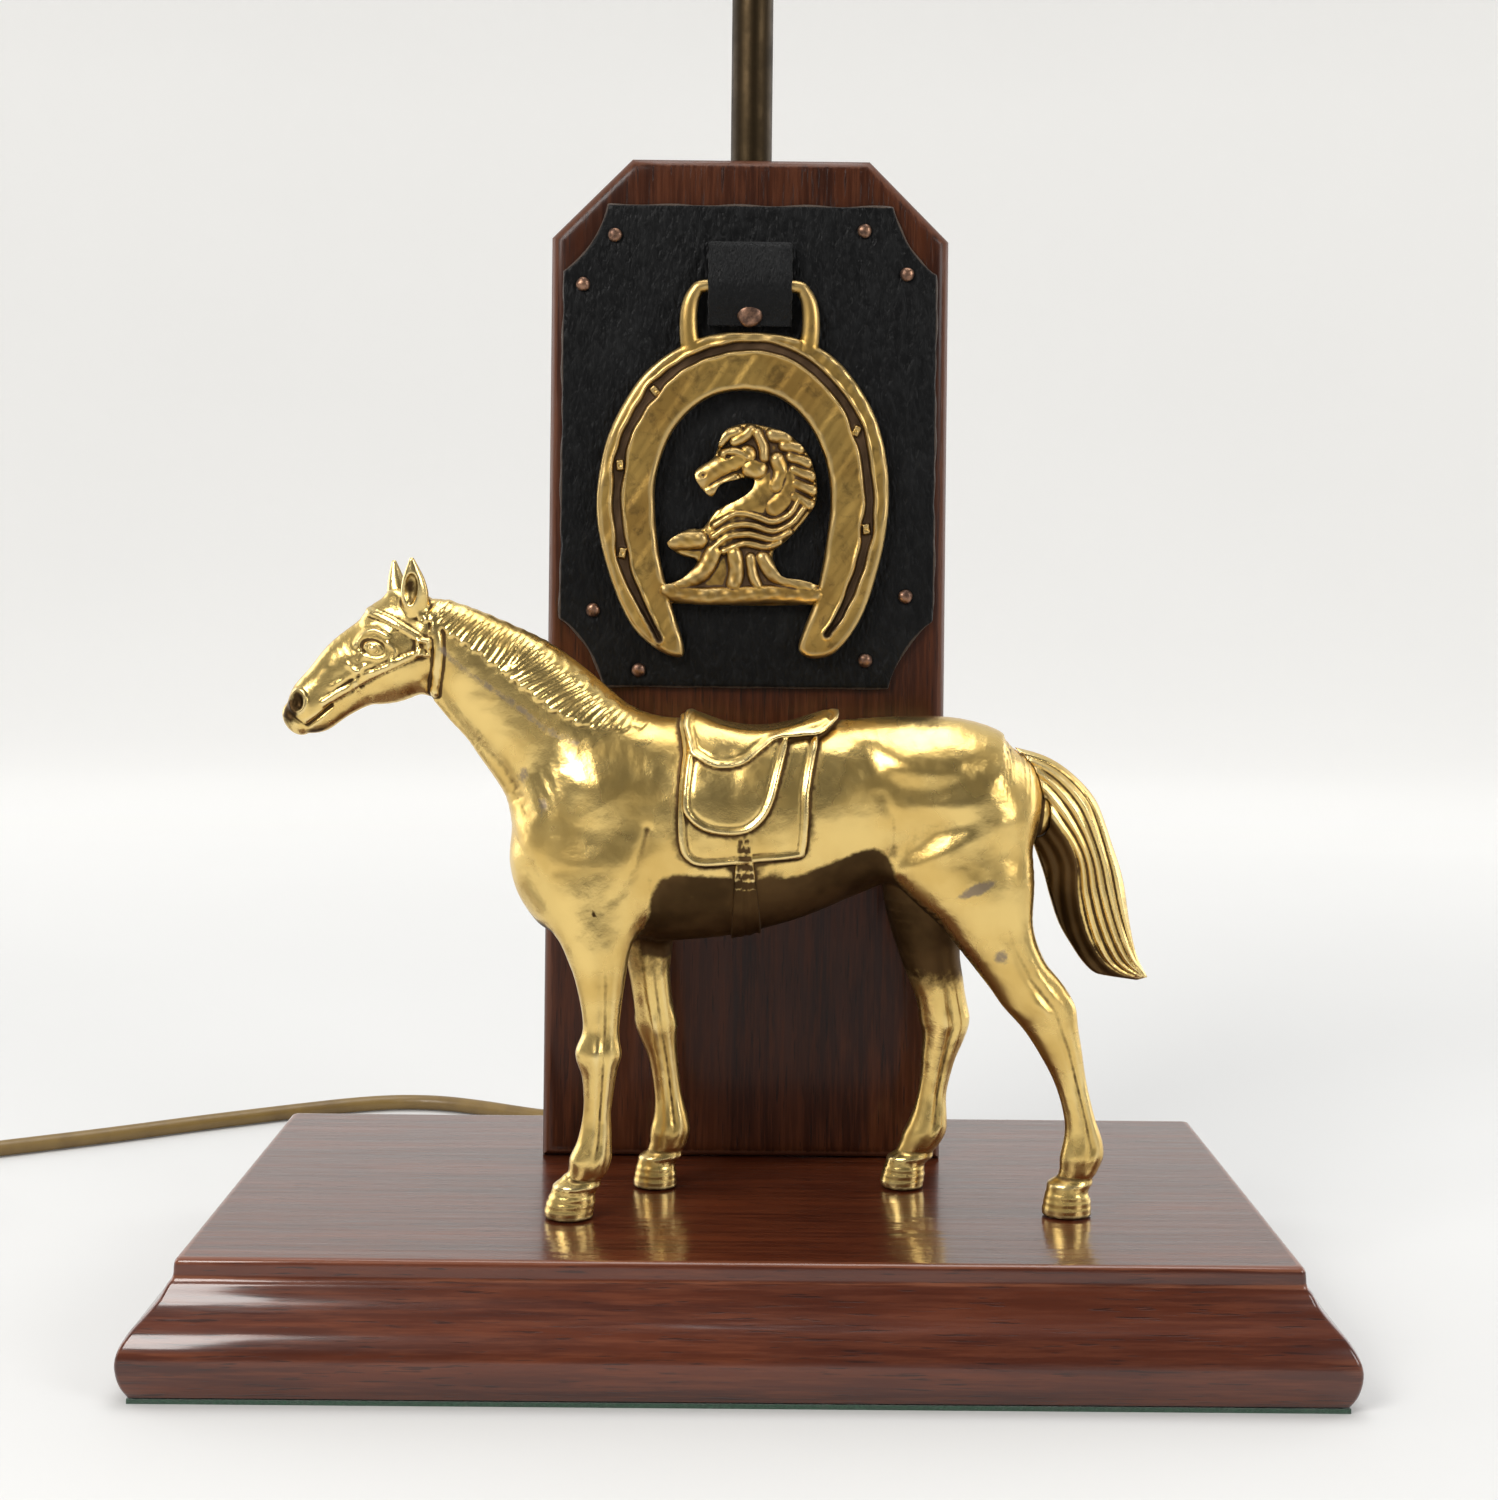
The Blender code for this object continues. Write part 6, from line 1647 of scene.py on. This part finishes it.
def make_tube_and_holder():
    """The tube, the switched bayonet lampholder with its shade ring, and the two contacts."""
    centre = (0.0, TUBE_Y, 0.0)
    wall = [(TUBE_RADIUS, 12.0), (TUBE_RADIUS, TUBE_TOP), (TUBE_BORE, TUBE_TOP), (TUBE_BORE, 12.0)]
    turned("brass_tube", centre, rounded(wall, 0.4), TUBE_METAL, sides=72, hollow=True, slot="dark_brass",
           replaces=("lamp_tube",))

    inner = TUBE_RADIUS + 0.3
    cap_top = BARREL_BASE - HOLDER_BASE - 0.3
    cap = above(HOLDER_BASE, [(8.6, 0.0), (9.2, 0.6), (9.2, 6.0), (9.6, 7.4), (11.0, 9.4), (13.4, 11.2),
                              (14.8, 12.6),
                              (15.2, 14.0), (15.2, cap_top), (13.0, cap_top), (13.0, 13.0), (inner, 11.0),
                              (inner, 0.0)])
    turned("holder_cap_shell", centre, rounded(cap, 0.5), HOLDER_METAL, sides=96, hollow=True,
           slot="holder_brass",
           replaces=("holder_cap",), smooth_angle=35)

    bore = 11.9
    barrel = above(BARREL_BASE, [(15.2, 0.0), (15.2, 0.9), (15.6, 1.2), (15.6, 2.6), (15.2, 2.9),
                                 (15.2, 13.5), (13.6, 15.5)])
    for k in range(9):                                     # rolled thread that the shade ring runs on
        barrel += above(BARREL_BASE + 17.0 + 2.4 * k, [(13.25, 0.0), (13.6, 0.6), (13.6, 1.2), (13.25, 1.8)])
    barrel += [(13.6, BARREL_TOP - 5.0), (13.6, BARREL_TOP - 0.6), (13.0, BARREL_TOP), (bore, BARREL_TOP),
               (bore, BARREL_BASE + 15.0), (13.4, BARREL_BASE + 13.2), (13.4, BARREL_BASE)]
    turned("holder_barrel_shell", centre, rounded(barrel, 0.25, 2), HOLDER_METAL, sides=96, hollow=True,
           slot="holder_brass", replaces=("holder_barrel",), smooth_angle=35)

    block = [(2.0, BARREL_BASE + 1.0), (13.0, BARREL_BASE + 1.0), (13.0, BARREL_BASE + 12.8),
             (bore - 0.3, BARREL_BASE + 14.8), (bore - 0.3, INSULATOR_TOP), (2.0, INSULATOR_TOP)]
    turned("insulating_block", centre, rounded(block, 0.6), PHENOLIC, sides=72, hollow=True, slot="phenolic",
           replaces=("holder_insulator",))

    low = BARREL_TOP - 17.0
    ring = above(low, [(19.0, 0.0), (19.5, 0.5), (19.5, 2.4), (19.0, 2.9), (16.6, 3.1), (16.1, 3.8),
                       (16.0, 8.0), (13.9, 8.0),
                       (13.9, 0.0)])
    turned("shade_ring_knurled", centre, rounded(ring, 0.3, 2), HOLDER_METAL, sides=240, hollow=True,
           ripple=lambda a, along: -0.28 * abs(sin(a * 24)) if low + 0.3 < along < low + 2.6 else 0.0,
           slot="holder_brass", replaces=("shade_ring",), smooth_angle=35)

    bar = [(0.1, -21.2), (1.2, -21.0), (2.1, -20.4), (2.6, -19.2), (2.6, 13.7), (2.1, 14.9), (1.2, 15.5),
           (0.1, 15.7)]
    turned("switch_bar_moulded", (0.0, TUBE_Y, SWITCH_HEIGHT), bar, PHENOLIC, axis="x", sides=40,
           body="switch",
           slot="phenolic", replaces=("switch_bar",))
    for side, name in ((-1, "left"), (1, "right")):
        pin = [(0.1, INSULATOR_TOP - 3.0), (1.9, INSULATOR_TOP - 3.0), (1.9, PLUNGER_TOP - 0.9),
               (1.6, PLUNGER_TOP - 0.3),
               (0.9, PLUNGER_TOP), (0.1, PLUNGER_TOP + 0.05)]
        turned(f"contact_plunger_{name}", (side * CONTACT_SPREAD, TUBE_Y, 0.0), pin, HOLDER_METAL, sides=32,
               body=f"{name}_contact", slot="holder_brass", replaces=(f"contact_{name}",))


def make_bulb():
    centre = (0.0, TUBE_Y, 0.0)
    low = PLUNGER_TOP + 0.3
    cap = above(low, [(0.1, 0.0), (4.0, 0.0), (9.0, 0.3), (10.3, 1.0), (10.9, 2.4), (10.9, 5.2),
                      (10.65, 5.6), (10.65, 6.4),
                      (10.9, 6.8), (10.9, 24.0), (11.4, 25.4), (12.6, 26.9), (12.4, 27.05), (0.1, 27.05)])
    turned("bulb_cap_shell", centre, cap, ALUMINIUM, sides=72, slot="aluminium", replaces=("bulb_cap",),
           smooth_angle=30)
    base = low + 27.3
    shape = [(12.4, 0.0), (14.2, 9.0), (20.5, 22.0), (27.6, 36.0), (30.0, 48.0), (28.2, 61.0), (20.0, 73.5),
             (8.0, 79.0), (0.1, 80.1)]
    outside = above(base, smooth_path(shape, 6))
    inside = [(max(radius - 1.2, 0.1), rise - 1.0 if rise > base + 40 else rise + 0.2) for radius,
              rise in reversed(outside)]
    turned("bulb_globe", centre, inside + outside, OPAL_GLASS, sides=96, slot="opal_glass",
           replaces=("bulb_glass",),
           smooth_angle=60)


# ---------------------------------------------------------------- small turned pieces and kept nodes

def make_plug_fittings():
    screw = [(0.1, 0.9), (2.2, 0.9), (2.6, 1.2), (2.6, 2.7), (1.1, 2.7), (1.1, PLUG_FACE - 6.0),
             (0.1, PLUG_FACE - 5.8)]
    turned("plug_screw_turned", (PLUG_X, PLUG_Y + 4.6, 0.0), screw, STEEL, sides=28, slot="steel",
           replaces=("plug_screw",))
    fuse = [(0.1, -12.7), (2.9, -12.7), (3.15, -12.4), (3.15, -7.0), (2.95, -6.8), (2.95, 6.8), (3.15, 7.0),
            (3.15, 12.4),
            (2.9, 12.7), (0.1, 12.7)]
    turned("plug_fuse_turned", (PLUG_X, PLUG_Y - 3.2, 13.0), fuse, ALUMINIUM, axis="x", sides=28,
           slot="aluminium",
           replaces=("plug_fuse",))


STEEL_NODES = ["tube_washer", "tube_nut", "spring_left", "spring_right", "board_screw_left",
               "board_screw_right"]
STEEL_NODES += [f"hoof_screw_{n}" for n in range(1, 5)]
KEPT = [(BAIZE, ["base_felt"]), (HOLDER_METAL, ["plug_pin_earth", "plug_pin_live", "plug_pin_neutral"]),
        (CORE_BROWN, ["core_live"]), (CORE_BLUE, ["core_neutral"]), (STEEL, STEEL_NODES)]


def dress_kept_nodes():
    for surface, names in KEPT:
        for name in names:
            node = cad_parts[name]
            node = bpy.data.objects[node] if isinstance(node, str) else node
            for slot in node.material_slots:
                slot.material = surface


# ---------------------------------------------------------------- build

make_stage()
make_lights()
plug_pieces = make_plug()
tie = make_tie()
grommet = make_grommet()
make_lead()
make_plug_fittings()
make_base()
make_board()
make_plaque()
make_tacks()
make_strap()
make_horse_brass()
make_horse()
make_tail()
make_tube_and_holder()
make_bulb()
dress_kept_nodes()
